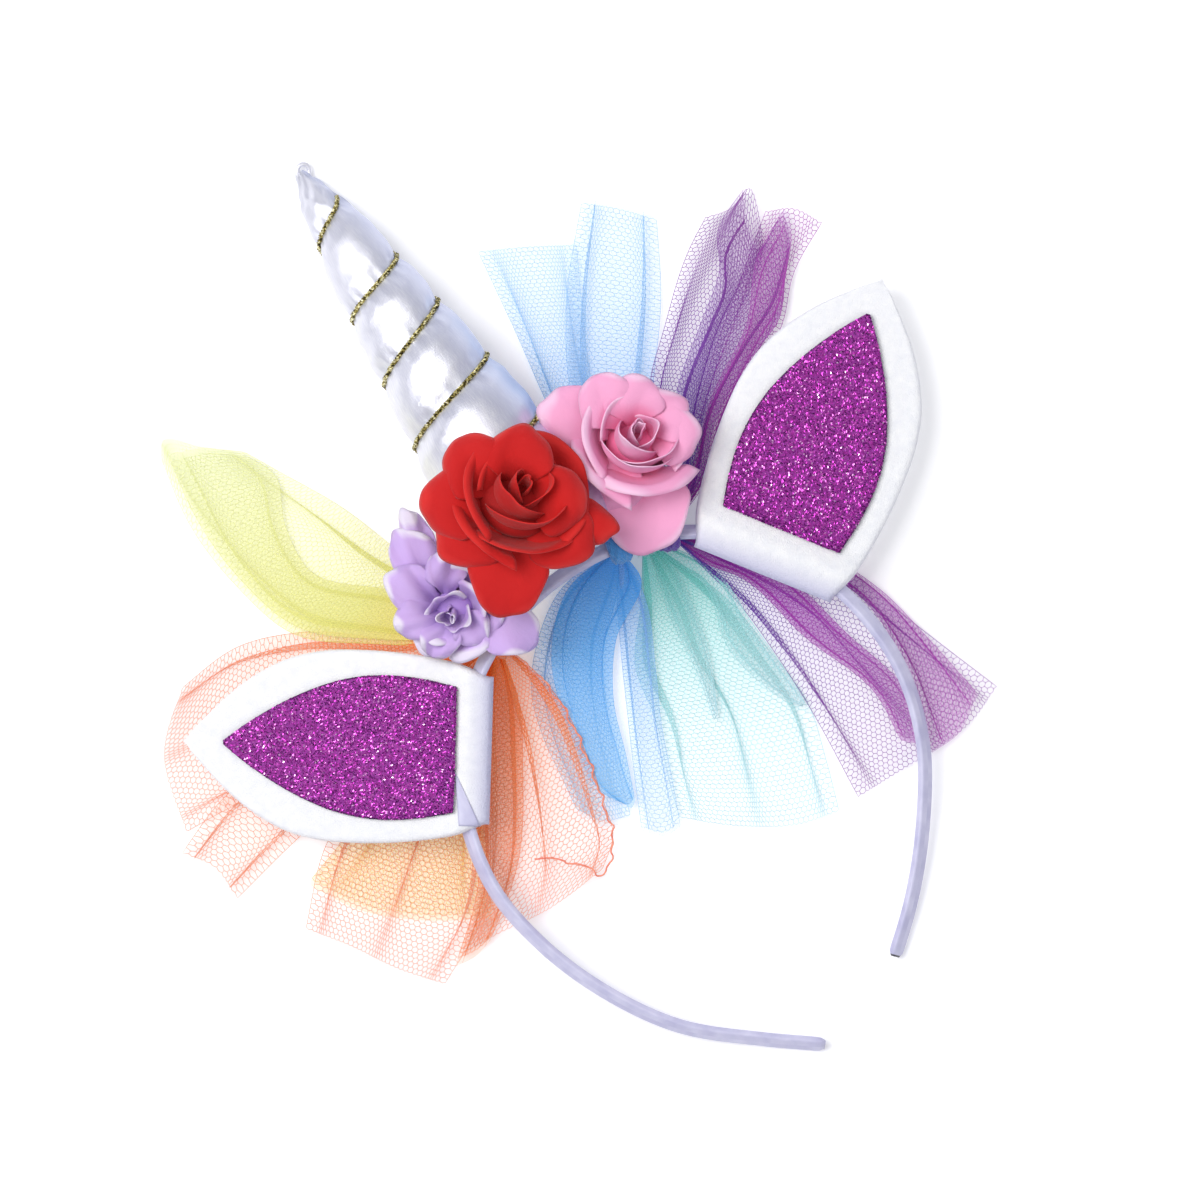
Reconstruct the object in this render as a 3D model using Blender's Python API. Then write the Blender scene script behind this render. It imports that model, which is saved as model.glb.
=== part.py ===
"""Unicorn horn headband, lying on its back: a satin band with a padded horn,
two felt ears, three cloth roses and strips of net knotted round the band.

Metres in Blender, millimetres in the tables. +Z is up, +Y runs from the open
ends of the band to its crown, and the horn points along +Y."""
import math

import bmesh
import bpy
import numpy as np
from mathutils import Matrix, Vector

MM = 0.001
GAP = 0.35            # clear space between two pieces that touch in the real thing

# Band: a flat strip rolled over, so that its outer face looks up
BAND_WIDE = 4.8
BAND_THICK = 2.2
BAND_ROLL = math.radians(40)
BAND_CORNER = 0.5
BAND_END_HEIGHT = 2.26
BAND_CROWN_HEIGHT = 17.0
BAND_END_Y = -76.0
BAND_CROWN_Y = 68.0
BAND_STEPS = 42
# x, y of the band's middle line, from the left end over the crown to the right end
BAND_LINE = [
    (-15.1, -80.4), (-28.3, -68.9), (-45.4, -51.5), (-56.1, -31.9), (-62.7, -10.1),
    (-64.2, 9.1), (-60.4, 26.0), (-54.0, 39.5), (-44.5, 50.8), (-33.0, 60.0),
    (-17.0, 66.6), (-1.0, 68.8), (15.0, 67.6), (30.0, 62.8), (41.5, 55.4),
    (52.5, 43.8), (60.0, 29.0), (64.0, 12.2), (63.5, -7.9), (57.0, -26.9),
    (43.6, -45.9), (26.4, -63.2), (15.1, -71.9),
]

# Horn: stuffed cloth cone lying along +Y, drawn in by a cord
HORN_TIP = (9.1, 203.5)
HORN_BASE = (5.0, 72.3)
HORN_SIDES = 16
HORN_RINGS = 52
HORN_GROOVE = 2.25
HORN_GROOVE_FLAT = 2.0
HORN_GROOVE_EDGE = 5.8
CORD_WIDE = 1.4
CORD_CLEAR = 0.75
# distance from the tip, radius
HORN_SHAPE = [(0, 1.1), (3, 2.3), (8, 4.4), (16, 6.8), (39, 11.0), (57, 13.6),
              (76, 16.1), (94, 18.7), (112, 19.8), (126, 19.6), (131.2, 17.0)]
# turns of the cord, y where it is; whole turns are on the right side of the horn
CORD_TURNS = [(0, 191.8), (0.5, 182.0), (1, 168.4), (1.5, 160.4), (2, 151.4), (2.5, 140.4),
              (3, 131.0), (3.5, 121.2), (4, 109.6), (4.5, 99.0), (5, 88.0)]

# Ears: thick felt folded round the band
EAR_THICK = 4.4
EAR_FOLD_THICK = 9.4
EAR_TIP_HEIGHT = 9.4
EAR_COLUMNS = 6
# distance out from the fold as a share of the length, half width
EAR_SHAPE = [(0, 20.6), (0.10, 24.0), (0.16, 25.0), (0.29, 26.4), (0.41, 26.9), (0.56, 26.2),
             (0.66, 24.1), (0.75, 20.3), (0.86, 13.4), (0.94, 6.6), (1.0, 1.0)]
# distance out from the fold, thickness as a share from plain felt (0) to fold (1)
EAR_HUMP = [(-1.4, 0.25), (-0.6, 0.72), (0.8, 0.95), (3.2, 1.0), (7.6, 0.95), (10.5, 0.5), (14.0, 0.0)]
GLITTER_THICK = 1.6
GLITTER_LENGTH = 64.5
# distance from the glitter's base as a share of its length, half width
GLITTER_SHAPE = [(0, 17.5), (0.15, 19.4), (0.31, 20.1), (0.5, 18.4), (0.68, 14.0),
                 (0.83, 8.6), (0.93, 4.2), (1.0, 0.6)]
# name, middle of the fold (x, y), tip (x, y), glitter starts this far from the fold
EARS = [
    ("ear_left", (-43.1, 41.9), (-109.4, 93.3), 8.7),
    ("ear_right", (48.8, 37.1), (122.6, 82.9), 12.2),
]

# Roses: name, middle (x, y), height of the underside, bud radius, bud height, bud offset (x, y)
ROSES = [
    ("rose_red", (3.4, 92.7), 36.4, 9.5, 19.0, (5.0, 2.5)),
    ("rose_pink", (41.0, 88.0), 20.5, 8.0, 17.0, (4.0, -1.0)),
    ("rose_lilac", (-27.4, 80.5), 19.1, 6.0, 12.5, (0.0, 0.0)),
]
# turn (degrees), reach, half angle (degrees), height at the root, at the middle and at the lip
PETALS = {
    "rose_red": [
        (328, 20, 50, 5, 12, 9), (290, 25, 40, 4, 8, 7), (230, 31, 34, 4, 7, 4.5),
        (180, 24, 40, 4, 9, 6), (144, 25, 38, 5, 11, 8), (100, 23, 42, 5, 12, 9),
        (46, 21, 44, 5, 13, 11), (309, 29, 22, 3, 5.5, 4.5),
        (250, 15, 58, 6, 14, 15), (20, 13, 60, 8, 17, 19), (135, 14, 60, 8, 16, 18),
    ],
    "rose_pink": [
        (126, 27, 34, 4, 10, 9), (212, 22, 38, 4, 7, 5), (242, 32, 40, 3, 4.5, 3.4),
        (329, 18, 50, 5, 11, 11), (54, 17, 52, 5, 13, 13), (92, 20, 44, 5, 12, 12),
        (0, 17, 48, 5, 12, 12),
        (235, 14, 60, 6, 13, 14), (10, 11, 62, 8, 16, 18), (130, 12, 62, 8, 15, 17),
    ],
    "rose_lilac": [
        (120, 19, 34, 3, 8, 7), (166, 15, 38, 3, 8, 7), (218, 14, 40, 3, 7, 6),
        (278, 14, 40, 3, 7, 6), (78, 15, 40, 3, 8, 8), (82, 28, 18, 1, 3, 3),
        (303, 21, 24, 2, 4, 3.5),
        (340, 9, 60, 5, 10, 12), (200, 9, 60, 5, 10, 12),
    ],
}
PETAL_THICK = 1.1
PETAL_ACROSS = 4
PETAL_ALONG = 3

# Net strips: gathered under their knot, spreading and lying down on the floor
NET_THICK = 0.8
NET_NECK_BELOW = 4.95
NET_NECK_START = 2.6
NET_DROP = 26.0
NET_ALONG = 5
KNOT_INNER = 3.05
KNOT_OUTER = 5.0
KNOT_LONG = 6.4
KNOT_SIDES = 10
KNOT_SEARCH_STEPS = 1200
# name, x where it sits on the band
KNOTS = [("knot_orange", -23.0), ("knot_yellow", -15.0), ("knot_blue", 20.0),
         ("knot_teal", 26.8), ("knot_purple", 33.2)]
# name, knot, pleats, pleat height, cuts across; rows are x, y of the cut edge, height it lies at
NETS = [
    ("tulle_orange", "knot_orange", 13, 0.5, 28, [
        (-50, 90, 1.2), (-66, 99, 1.2), (-82, 106, 1.2), (-104, 106, 1.2), (-119, 95, 1.2),
        (-127, 73, 1.2), (-131, 66, 1.2), (-126, 49, 1.2), (-100, 47, 1.2), (-97, 42, 1.2),
        (-115, 30, 1.2), (-108, 19, 1.2), (-101, 6, 1.2), (-94, -4, 1.2), (-84, 0, 1.2),
        (-75, -1, 1.2), (-61, -4, 1.4), (-49, -6, 2.2), (-37, -5, 3.6), (-28, 3, 5.0),
        (-23, 20, 5.2), (-19, 40, 5.2)]),
    ("tulle_yellow", "knot_yellow", 6, 0.5, 14, [
        (-50, 84, 6.4), (-66, 95, 5.2), (-71, 117, 3.4), (-71, 129, 2.2), (-70, 142, 1.4),
        (-66, 165, 1.4), (-58, 157, 1.4), (-50, 147, 1.4), (-42, 134, 1.6), (-36, 131, 2.0),
        (-30, 122, 2.6)]),
    ("tulle_blue_up", "knot_blue", 6, 0.5, 14, [
        (37, 159, 1.2), (49, 151, 1.2), (61, 143, 1.2), (69, 151, 1.2), (83, 135, 1.2)]),
    ("tulle_purple_up", "knot_purple", 6, 0.5, 14, [
        (53, 97, 3.2), (66, 108, 3.2), (85, 122, 3.2), (95, 127, 2.4), (110, 127, 1.6),
        (103, 111, 3.2), (114, 113, 3.2), (121, 107, 3.2), (104, 94, 3.2), (88, 82, 3.2)]),
    ("tulle_blue_down", "knot_blue", 6, 0.5, 14, [
        (-8, 60, 3.2), (-13, 51, 3.2), (-17, 33, 3.2), (-22, 18, 3.2), (-25, 10, 3.2),
        (-21, -1, 3.2), (-13, -8, 3.2), (-2, 8, 3.2)]),
    ("tulle_teal_down", "knot_teal", 6, 0.5, 14, [
        (3, 38, 1.2), (-1, 21, 1.2), (-7, 5, 1.2), (-11, -6, 1.2), (1, -18, 1.2),
        (14, -27, 1.2), (26, -31, 1.2), (32, -16, 1.2), (36, -1, 1.2), (36, 19, 1.2)]),
    ("tulle_purple_down", "knot_purple", 6, 0.5, 14, [
        (33, -31, 3.4), (46, -32, 2.4), (57, -33, 1.4), (70, -33, 1.4), (83, -29, 1.4),
        (77, -9, 3.2), (73, 5, 3.2), (67, 22, 3.2)]),
]


def paint(obj, name, colour, roughness, metallic=0.0):
    material = bpy.data.materials.new(name)
    material.use_nodes = True
    shader = material.node_tree.nodes["Principled BSDF"]
    shader.inputs["Base Color"].default_value = (*colour, 1)
    shader.inputs["Roughness"].default_value = roughness
    shader.inputs["Metallic"].default_value = metallic
    obj.data.materials.clear()
    obj.data.materials.append(material)


def add_mesh(name, points, faces):
    """Make an object from points in millimetres, with its faces turned outwards."""
    mesh = bpy.data.meshes.new(name)
    mesh.from_pydata([Vector(p) * MM for p in points], [], faces)
    body = bmesh.new()
    body.from_mesh(mesh)
    bmesh.ops.remove_doubles(body, verts=body.verts, dist=1e-6)
    bmesh.ops.recalc_face_normals(body, faces=body.faces)
    bmesh.ops.triangulate(body, faces=body.faces)
    body.to_mesh(mesh)
    body.free()
    mesh.shade_smooth()
    mesh.set_sharp_from_angle(angle=math.radians(40))
    obj = bpy.data.objects.new(name, mesh)
    bpy.context.scene.collection.objects.link(obj)
    return obj


def curve_through(rows, count):
    """Read a smooth curve through the rows at evenly spaced shares of its length."""
    rows = np.array(rows, float)
    steps = np.linalg.norm(np.diff(rows[:, :2], axis=0), axis=1)
    marks = np.concatenate([[0], np.cumsum(steps)])
    wanted = np.linspace(0, marks[-1], count)
    slopes = np.gradient(rows, marks, axis=0)
    place = np.clip(np.searchsorted(marks, wanted, side="right") - 1, 0, len(marks) - 2)
    span = (marks[place + 1] - marks[place])[:, None]
    t = (wanted - marks[place])[:, None] / span
    start, end = rows[place], rows[place + 1]
    return ((2 * t**3 - 3 * t**2 + 1) * start + (t**3 - 2 * t**2 + t) * span * slopes[place]
            + (3 * t**2 - 2 * t**3) * end + (t**3 - t**2) * span * slopes[place + 1])


def read_table(table, at):
    """Value of a two-column table at a place, on a straight line between rows."""
    columns = np.array(table, float)
    return float(np.interp(at, columns[:, 0], columns[:, 1]))


def band_height(y):
    """Height of the band's middle line: it leans back from its ends to its crown."""
    share = (y - BAND_END_Y) / (BAND_CROWN_Y - BAND_END_Y)
    return BAND_END_HEIGHT + share * (BAND_CROWN_HEIGHT - BAND_END_HEIGHT)


def band_frames(steps):
    """Middle points of the band with the directions along it, outwards and upwards."""
    line = curve_through(BAND_LINE, steps)
    frames = []
    for index, (x, y) in enumerate(line):
        ahead = line[min(index + 1, steps - 1)] - line[max(index - 1, 0)]
        along = Vector((ahead[0], ahead[1], 0)).normalized()
        outward = Vector((-along.y, along.x, 0))
        upward = Vector((0, 0, 1))
        frames.append((Vector((x, y, max(band_height(y), BAND_END_HEIGHT))), along, outward, upward))
    return frames


def band_section(grow):
    """Corners of the strip's section as shares of outward and upward, already rolled."""
    half_wide = BAND_WIDE / 2 + grow
    half_thick = BAND_THICK / 2 + grow
    cut = BAND_CORNER
    corners = []
    for side, top in ((1, 1), (-1, 1), (-1, -1), (1, -1)):
        flat = (side * half_thick, top * (half_wide - cut))
        tall = (side * (half_thick - cut), top * half_wide)
        corners += [flat, tall] if side * top > 0 else [tall, flat]
    cosine, sine = math.cos(BAND_ROLL), math.sin(BAND_ROLL)
    return [(across * cosine - up * sine, across * sine + up * cosine) for across, up in corners]


def sweep_band(name, frames, grow):
    section = band_section(grow)
    count = len(section)
    points = []
    for centre, along, outward, upward in frames:
        points += [centre + outward * a + upward * b for a, b in section]
    faces = [tuple(reversed(range(count)))]
    for step in range(len(frames) - 1):
        for k in range(count):
            here = step * count
            after = here + count
            faces.append((here + k, here + (k + 1) % count, after + (k + 1) % count, after + k))
    last = (len(frames) - 1) * count
    faces.append(tuple(range(last, last + count)))
    return add_mesh(name, points, faces)


def horn_axis(distance):
    """Middle of the horn at a distance from its tip: its lower side rests on the floor."""
    length = math.dist(HORN_TIP, HORN_BASE)
    share = distance / length
    x = HORN_TIP[0] + (HORN_BASE[0] - HORN_TIP[0]) * share
    y = HORN_TIP[1] + (HORN_BASE[1] - HORN_TIP[1]) * share
    return Vector((x, y, read_table(HORN_SHAPE, distance)))


def cord_distance(turns):
    """Distance of the cord from the horn's tip after a number of turns."""
    length = math.dist(HORN_TIP, HORN_BASE)
    fall = (HORN_TIP[1] - HORN_BASE[1]) / length
    return (HORN_TIP[1] - read_table(CORD_TURNS, turns)) / fall


def groove_depth(distance, angle):
    """How far the cord draws the cloth in, at a place on the horn."""
    nearest = 1e9
    for whole in range(-1, 6):
        turns = whole + angle / (2 * math.pi)
        if 0 <= turns <= CORD_TURNS[-1][0]:
            nearest = min(nearest, abs(cord_distance(turns) - distance))
    reach = (nearest - HORN_GROOVE_FLAT) / (HORN_GROOVE_EDGE - HORN_GROOVE_FLAT)
    reach = min(max(reach, 0), 1)
    radius = read_table(HORN_SHAPE, distance)
    return min(HORN_GROOVE, radius * 0.35) * 0.5 * (1 + math.cos(math.pi * reach))


def horn_point(distance, angle, lift):
    radius = read_table(HORN_SHAPE, distance) + lift
    return horn_axis(distance) + Vector((math.cos(angle) * radius, 0, math.sin(angle) * radius))


def make_horn(name, grow):
    length = math.dist(HORN_TIP, HORN_BASE)
    points = [horn_axis(0) + Vector((0, 0.6 + grow, 0))]
    faces = []
    for ring in range(HORN_RINGS + 1):
        distance = length * ring / HORN_RINGS
        for k in range(HORN_SIDES):
            angle = 2 * math.pi * k / HORN_SIDES
            points.append(horn_point(distance, angle, grow - groove_depth(distance, angle)))
    for k in range(HORN_SIDES):
        after = (k + 1) % HORN_SIDES
        faces.append((0, 1 + k, 1 + after))
        for ring in range(HORN_RINGS):
            here = 1 + ring * HORN_SIDES
            below = here + HORN_SIDES
            faces.append((here + k, below + k, below + after, here + after))
    last = 1 + HORN_RINGS * HORN_SIDES
    points.append(horn_axis(length) - Vector((0, 0.4 + grow, 0)))
    faces += [(last + k, len(points) - 1, last + (k + 1) % HORN_SIDES) for k in range(HORN_SIDES)]
    return add_mesh(name, points, faces)


def make_cord():
    """A round cord in the groove, one point for each side of the horn."""
    total = int(CORD_TURNS[-1][0] * HORN_SIDES)
    curve = bpy.data.curves.new("horn_cord", "CURVE")
    curve.dimensions = "3D"
    curve.bevel_depth = CORD_WIDE / 2 * MM
    curve.bevel_resolution = 1
    curve.use_fill_caps = True
    spline = curve.splines.new("POLY")
    spline.points.add(total - 1)
    for index in range(total):
        turns = (index + 0.5) / HORN_SIDES if index in (0, total - 1) else index / HORN_SIDES
        angle = 2 * math.pi * turns
        distance = cord_distance(turns)
        lift = CORD_WIDE / 2 + CORD_CLEAR - groove_depth(distance, angle % (2 * math.pi))
        spline.points[index].co = (*(horn_point(distance, angle, lift) * MM), 1)
    obj = bpy.data.objects.new("horn_cord", curve)
    bpy.context.scene.collection.objects.link(obj)
    return obj


def close_sheet(name, top, bottom, rows, columns):
    """Join an upper and a lower grid of points into one closed body."""
    count = rows * columns
    faces = []
    for i in range(rows - 1):
        for j in range(columns - 1):
            a = i * columns + j
            quad = (a, a + 1, a + columns + 1, a + columns)
            faces.append(quad)
            faces.append(tuple(reversed([count + v for v in quad])))
    rim = [j for j in range(columns)]
    rim += [i * columns + columns - 1 for i in range(1, rows)]
    rim += [(rows - 1) * columns + j for j in reversed(range(columns - 1))]
    rim += [i * columns for i in reversed(range(1, rows - 1))]
    for a, b in zip(rim, rim[1:] + rim[:1]):
        faces.append((a, b, count + b, count + a))
    return add_mesh(name, top + bottom, faces)


def ear_place(fold, tip, out, half, share):
    """Point of an ear's middle layer: how far out, half width there, -1 to 1 across."""
    axis = Vector((tip[0] - fold[0], tip[1] - fold[1], 0))
    length = axis.length
    axis.normalize()
    across = Vector((-axis.y, axis.x, 0))
    foot = Vector((*fold, 0)) + across * share * read_table(EAR_SHAPE, 0)
    place = Vector((*fold, 0)) + axis * out + across * half * share
    droop = min(max(out / length, 0), 1)
    droop = droop * droop * (3 - 2 * droop)
    place.z = band_height(foot.y) * (1 - droop) + EAR_TIP_HEIGHT * droop
    return place


def ear_half_thick(out):
    fold_share = read_table(EAR_HUMP, out)
    return (EAR_THICK + (EAR_FOLD_THICK - EAR_THICK) * fold_share) / 2 if out > EAR_HUMP[0][0] else 1.0


def ear_rows(length):
    shape_rows = [share * length for share, _ in EAR_SHAPE if share * length > EAR_HUMP[-1][0]]
    return [out for out, _ in EAR_HUMP] + shape_rows


def make_ear(name, fold, tip):
    length = math.dist(fold, tip)
    top, bottom = [], []
    rows = ear_rows(length)
    for out in rows:
        half = read_table(EAR_SHAPE, out / length)
        for k in range(EAR_COLUMNS + 1):
            share = 2 * k / EAR_COLUMNS - 1
            place = ear_place(fold, tip, out, half, share)
            thick = ear_half_thick(out) * (1 - 0.45 * abs(share) ** 6)
            top.append(place + Vector((0, 0, thick)))
            bottom.append(place - Vector((0, 0, thick)))
    return close_sheet(name, top, bottom, len(rows), EAR_COLUMNS + 1)


def make_glitter(name, fold, tip, start):
    length = math.dist(fold, tip)
    middle = [out for out in ear_rows(length) if start + 1 < out < start + GLITTER_LENGTH - 1]
    rows = [start] + middle + [start + GLITTER_LENGTH]
    top, bottom = [], []
    for out in rows:
        half = read_table(GLITTER_SHAPE, (out - start) / GLITTER_LENGTH)
        for k in range(EAR_COLUMNS + 1):
            share = 2 * k / EAR_COLUMNS - 1
            ear_half = read_table(EAR_SHAPE, out / length)
            place = ear_place(fold, tip, out, ear_half, share * half / ear_half)
            place.z += ear_half_thick(out) + GAP
            bottom.append(place)
            top.append(place + Vector((0, 0, GLITTER_THICK)))
    return close_sheet(name, top, bottom, len(rows), EAR_COLUMNS + 1)


def petal_point(centre, base, petal, across, along, lift):
    """Point of a petal: -1 to 1 across, 0 at the root and 1 at the lip."""
    turn, reach, half_angle, root, middle, lip = petal
    width = math.radians(half_angle) * (0.55 + 0.9 * along - 0.75 * along ** 3)
    angle = math.radians(turn) + across * width
    round_off = 1 - 0.24 * along * across ** 2
    out = 1.5 + (reach - 1.5) * along ** 0.85 * round_off
    height = (root * (1 - along) * (1 - 2 * along) + 4 * middle * along * (1 - along)
              + lip * along * (2 * along - 1))
    return Vector((centre[0] + out * math.cos(angle), centre[1] + out * math.sin(angle),
                   base + height + lift))


def make_petal(name, centre, base, petal):
    top, bottom = [], []
    for i in range(PETAL_ALONG + 1):
        for j in range(PETAL_ACROSS + 1):
            spot = (2 * j / PETAL_ACROSS - 1, i / PETAL_ALONG)
            top.append(petal_point(centre, base, petal, *spot, PETAL_THICK / 2))
            bottom.append(petal_point(centre, base, petal, *spot, -PETAL_THICK / 2))
    return close_sheet(name, top, bottom, PETAL_ALONG + 1, PETAL_ACROSS + 1)


def hide_tool(obj):
    """Mark a cutter or a guide, which isn't a piece of the headband."""
    obj.hide_render = True
    obj.display_type = "WIRE"
    return obj


def use_boolean(obj, other, operation):
    modifier = obj.modifiers.new(operation.title(), "BOOLEAN")
    modifier.operation = operation
    modifier.solver = "EXACT"
    modifier.object = hide_tool(other)


def make_bud(name, centre, base, radius, height):
    """The rolled bud that carries the petals: an egg with a flat crown."""
    mesh = bpy.data.meshes.new(name)
    body = bmesh.new()
    bmesh.ops.create_uvsphere(body, u_segments=9, v_segments=5, radius=1)
    for vert in body.verts:
        vert.co = Vector((centre[0] + vert.co.x * radius, centre[1] + vert.co.y * radius,
                          base + height / 2 + vert.co.z * height / 2)) * MM
    body.to_mesh(mesh)
    body.free()
    obj = bpy.data.objects.new(name, mesh)
    bpy.context.scene.collection.objects.link(obj)
    return obj


def make_rose(name, centre, base, radius, height, offset, seats):
    bud_centre = (centre[0] + offset[0] / 2, centre[1] + offset[1] / 2)
    rose = make_bud(name, bud_centre, base, radius, height)
    for index, petal in enumerate(PETALS[name]):
        use_boolean(rose, make_petal(f"{name}_petal_{index}", centre, base, petal), "UNION")
    for seat in seats:
        use_boolean(rose, seat, "DIFFERENCE")
    return rose


def knot_frame(x):
    """Place on the band's crown at a given x, with the band's direction there."""
    crown = [frame for frame in band_frames(KNOT_SEARCH_STEPS) if frame[0].y > 40]
    return min(crown, key=lambda frame: abs(frame[0].x - x))


def make_knot(name, x):
    """A loop of net round the band: a short sleeve with rounded ends."""
    centre, along, outward, upward = knot_frame(x)
    half = KNOT_LONG / 2
    profile = [(-half, KNOT_INNER), (-half, KNOT_OUTER - 0.9), (-half / 2, KNOT_OUTER),
               (half / 2, KNOT_OUTER), (half, KNOT_OUTER - 0.9), (half, KNOT_INNER)]
    sides = KNOT_SIDES
    points, faces = [], []
    for k in range(sides):
        turn = 2 * math.pi * k / sides
        spoke = outward * math.cos(turn) + upward * math.sin(turn)
        points += [centre + along * a + spoke * r for a, r in profile]
    count = len(profile)
    for k in range(sides):
        here, after = k * count, (k + 1) % sides * count
        for j in range(count):
            nxt = (j + 1) % count
            faces.append((here + j, here + nxt, after + nxt, after + j))
    return add_mesh(name, points, faces)


def net_point(knot, edge, lie, along, wave):
    """Point of a net strip from its neck (0) to its cut edge (1)."""
    spread = Vector((edge[0] - knot.x, edge[1] - knot.y, 0))
    reach = spread.length
    spread.normalize()
    out = NET_NECK_START + (reach - NET_NECK_START) * along
    fall = max(0, 1 - (out - NET_NECK_START) / NET_DROP) ** 2
    neck_height = knot.z - NET_NECK_BELOW
    height = lie + (neck_height - lie) * fall + wave * min(1, out / 40)
    return Vector((knot.x, knot.y, 0)) + spread * out + Vector((0, 0, height))


def make_net(name, knot_name, pleats, pleat_height, cuts, rows):
    knot = knot_frame(dict(KNOTS)[knot_name])[0]
    marks = np.linspace(0, len(rows) - 1, cuts + 1)
    edge = np.array(rows, float)
    columns = [np.interp(marks, range(len(rows)), edge[:, c]) for c in range(3)]
    top, bottom = [], []
    for i in range(NET_ALONG + 1):
        along = (i / NET_ALONG) ** 1.25
        for j in range(cuts + 1):
            wave = pleat_height * math.sin(math.pi * pleats * 2 * j / cuts)
            spot = net_point(knot, (columns[0][j], columns[1][j]), columns[2][j], along, wave)
            top.append(spot + Vector((0, 0, NET_THICK / 2)))
            bottom.append(spot - Vector((0, 0, NET_THICK / 2)))
    return close_sheet(name, top, bottom, NET_ALONG + 1, cuts + 1)


def clear_scene():
    for obj in list(bpy.data.objects):
        bpy.data.objects.remove(obj, do_unlink=True)


def stand_on_origin():
    """Move the whole model so that the middle of its underside is the origin."""
    depsgraph = bpy.context.evaluated_depsgraph_get()
    corners = []
    for obj in bpy.data.objects:
        if obj.hide_render:
            continue
        mesh = obj.evaluated_get(depsgraph).to_mesh()
        corners += [obj.matrix_world @ v.co for v in mesh.vertices]
    low = Vector(min(c[k] for c in corners) for k in range(3))
    high = Vector(max(c[k] for c in corners) for k in range(3))
    shift = Matrix.Translation((-(low.x + high.x) / 2, -(low.y + high.y) / 2, -low.z))
    for obj in bpy.data.objects:
        obj.data.transform(shift)


COLOURS = {
    "orange": (0.93, 0.33, 0.14), "yellow": (0.80, 0.84, 0.35), "blue": (0.22, 0.52, 0.86),
    "teal": (0.30, 0.74, 0.68), "purple": (0.40, 0.10, 0.42), "red": (0.66, 0.02, 0.02),
    "pink": (0.93, 0.36, 0.58), "lilac": (0.52, 0.38, 0.80),
}


def main():
    clear_scene()
    frames = band_frames(BAND_STEPS)
    band = sweep_band("headband", frames, 0)
    paint(band, "satin", (0.70, 0.69, 0.86), 0.4)

    horn = make_horn("horn", 0)
    paint(horn, "silver_cloth", (0.82, 0.82, 0.88), 0.3, 0.6)
    paint(make_cord(), "gold_cord", (0.55, 0.45, 0.15), 0.4, 0.8)

    tunnel = hide_tool(sweep_band("band_tunnel", frames, GAP))
    for name, fold, tip, start in EARS:
        ear = make_ear(name, fold, tip)
        use_boolean(ear, tunnel, "DIFFERENCE")
        paint(ear, f"felt_{name}", (0.92, 0.91, 0.93), 0.95)
        glitter = make_glitter(f"{name}_glitter", fold, tip, start)
        paint(glitter, f"glitter_{name}", (0.45, 0.03, 0.42), 0.3, 0.4)

    for name, x in KNOTS:
        paint(make_knot(name, x), f"net_{name}", COLOURS[name.split("_")[1]], 0.7)
    for name, knot, pleats, pleat_height, cuts, rows in NETS:
        net = make_net(name, knot, pleats, pleat_height, cuts, rows)
        paint(net, f"net_{name}", COLOURS[name.split("_")[1]], 0.7)

    horn_seat = hide_tool(make_horn("horn_seat", GAP))
    for name, centre, base, radius, height, offset in ROSES:
        rose = make_rose(name, centre, base, radius, height, offset, [horn_seat])
        paint(rose, f"cloth_{name}", COLOURS[name.split("_")[1]], 0.8)

    stand_on_origin()


main()
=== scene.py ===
"""Unicorn horn headband, dressed: satin band, felt ears with glitter, stuffed horn with
its gold cord, strips of net knotted to the band and three cloth roses.

Tables are in millimetres, in the drawing's own frame: +Y runs from the band's open ends
to its crown, +Z is up. laid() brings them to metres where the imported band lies."""
import math

import bmesh
import bpy
import numpy as np
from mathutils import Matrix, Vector


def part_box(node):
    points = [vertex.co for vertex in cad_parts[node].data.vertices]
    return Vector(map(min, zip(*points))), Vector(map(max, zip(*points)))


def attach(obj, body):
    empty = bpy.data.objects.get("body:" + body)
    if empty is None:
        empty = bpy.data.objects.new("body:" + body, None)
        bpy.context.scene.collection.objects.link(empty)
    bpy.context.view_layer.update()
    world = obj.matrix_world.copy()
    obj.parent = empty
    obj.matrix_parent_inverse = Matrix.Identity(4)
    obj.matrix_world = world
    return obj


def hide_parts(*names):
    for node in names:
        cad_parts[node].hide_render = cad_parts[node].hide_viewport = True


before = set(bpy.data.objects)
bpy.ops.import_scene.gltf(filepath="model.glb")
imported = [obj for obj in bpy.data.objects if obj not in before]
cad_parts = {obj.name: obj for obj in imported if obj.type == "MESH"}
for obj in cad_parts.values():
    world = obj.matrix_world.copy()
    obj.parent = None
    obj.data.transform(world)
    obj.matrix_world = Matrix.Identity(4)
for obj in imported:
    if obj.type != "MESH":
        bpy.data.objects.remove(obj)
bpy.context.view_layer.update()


# Headband: a springy strip bent to a horseshoe and covered in lilac-white satin ribbon.
# It leans back from its open ends to its crown, and is rolled so that its face looks up.
MM = 0.001
BAND_DRAWN_CORNER = (-66.19, -81.97)
BAND_WIDE = 4.8
BAND_THICK = 2.2
BAND_ROLL = math.radians(40)
BAND_END = (-76.0, 2.26)
BAND_CROWN = (68.0, 17.0)
BAND_STEPS = 300
BAND_SIDES = 28
# powers that square the section, across it and up it; less is squarer
BAND_SQUARE_ACROSS = 0.6
BAND_SQUARE_UP = 0.35
# the cover narrows to a share of the section over the last steps at each end
END_STEPS = 2
END_SHARE = 0.6
RIBBON_LENGTH = 430
RIBBON_WIDTH = 13
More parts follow.
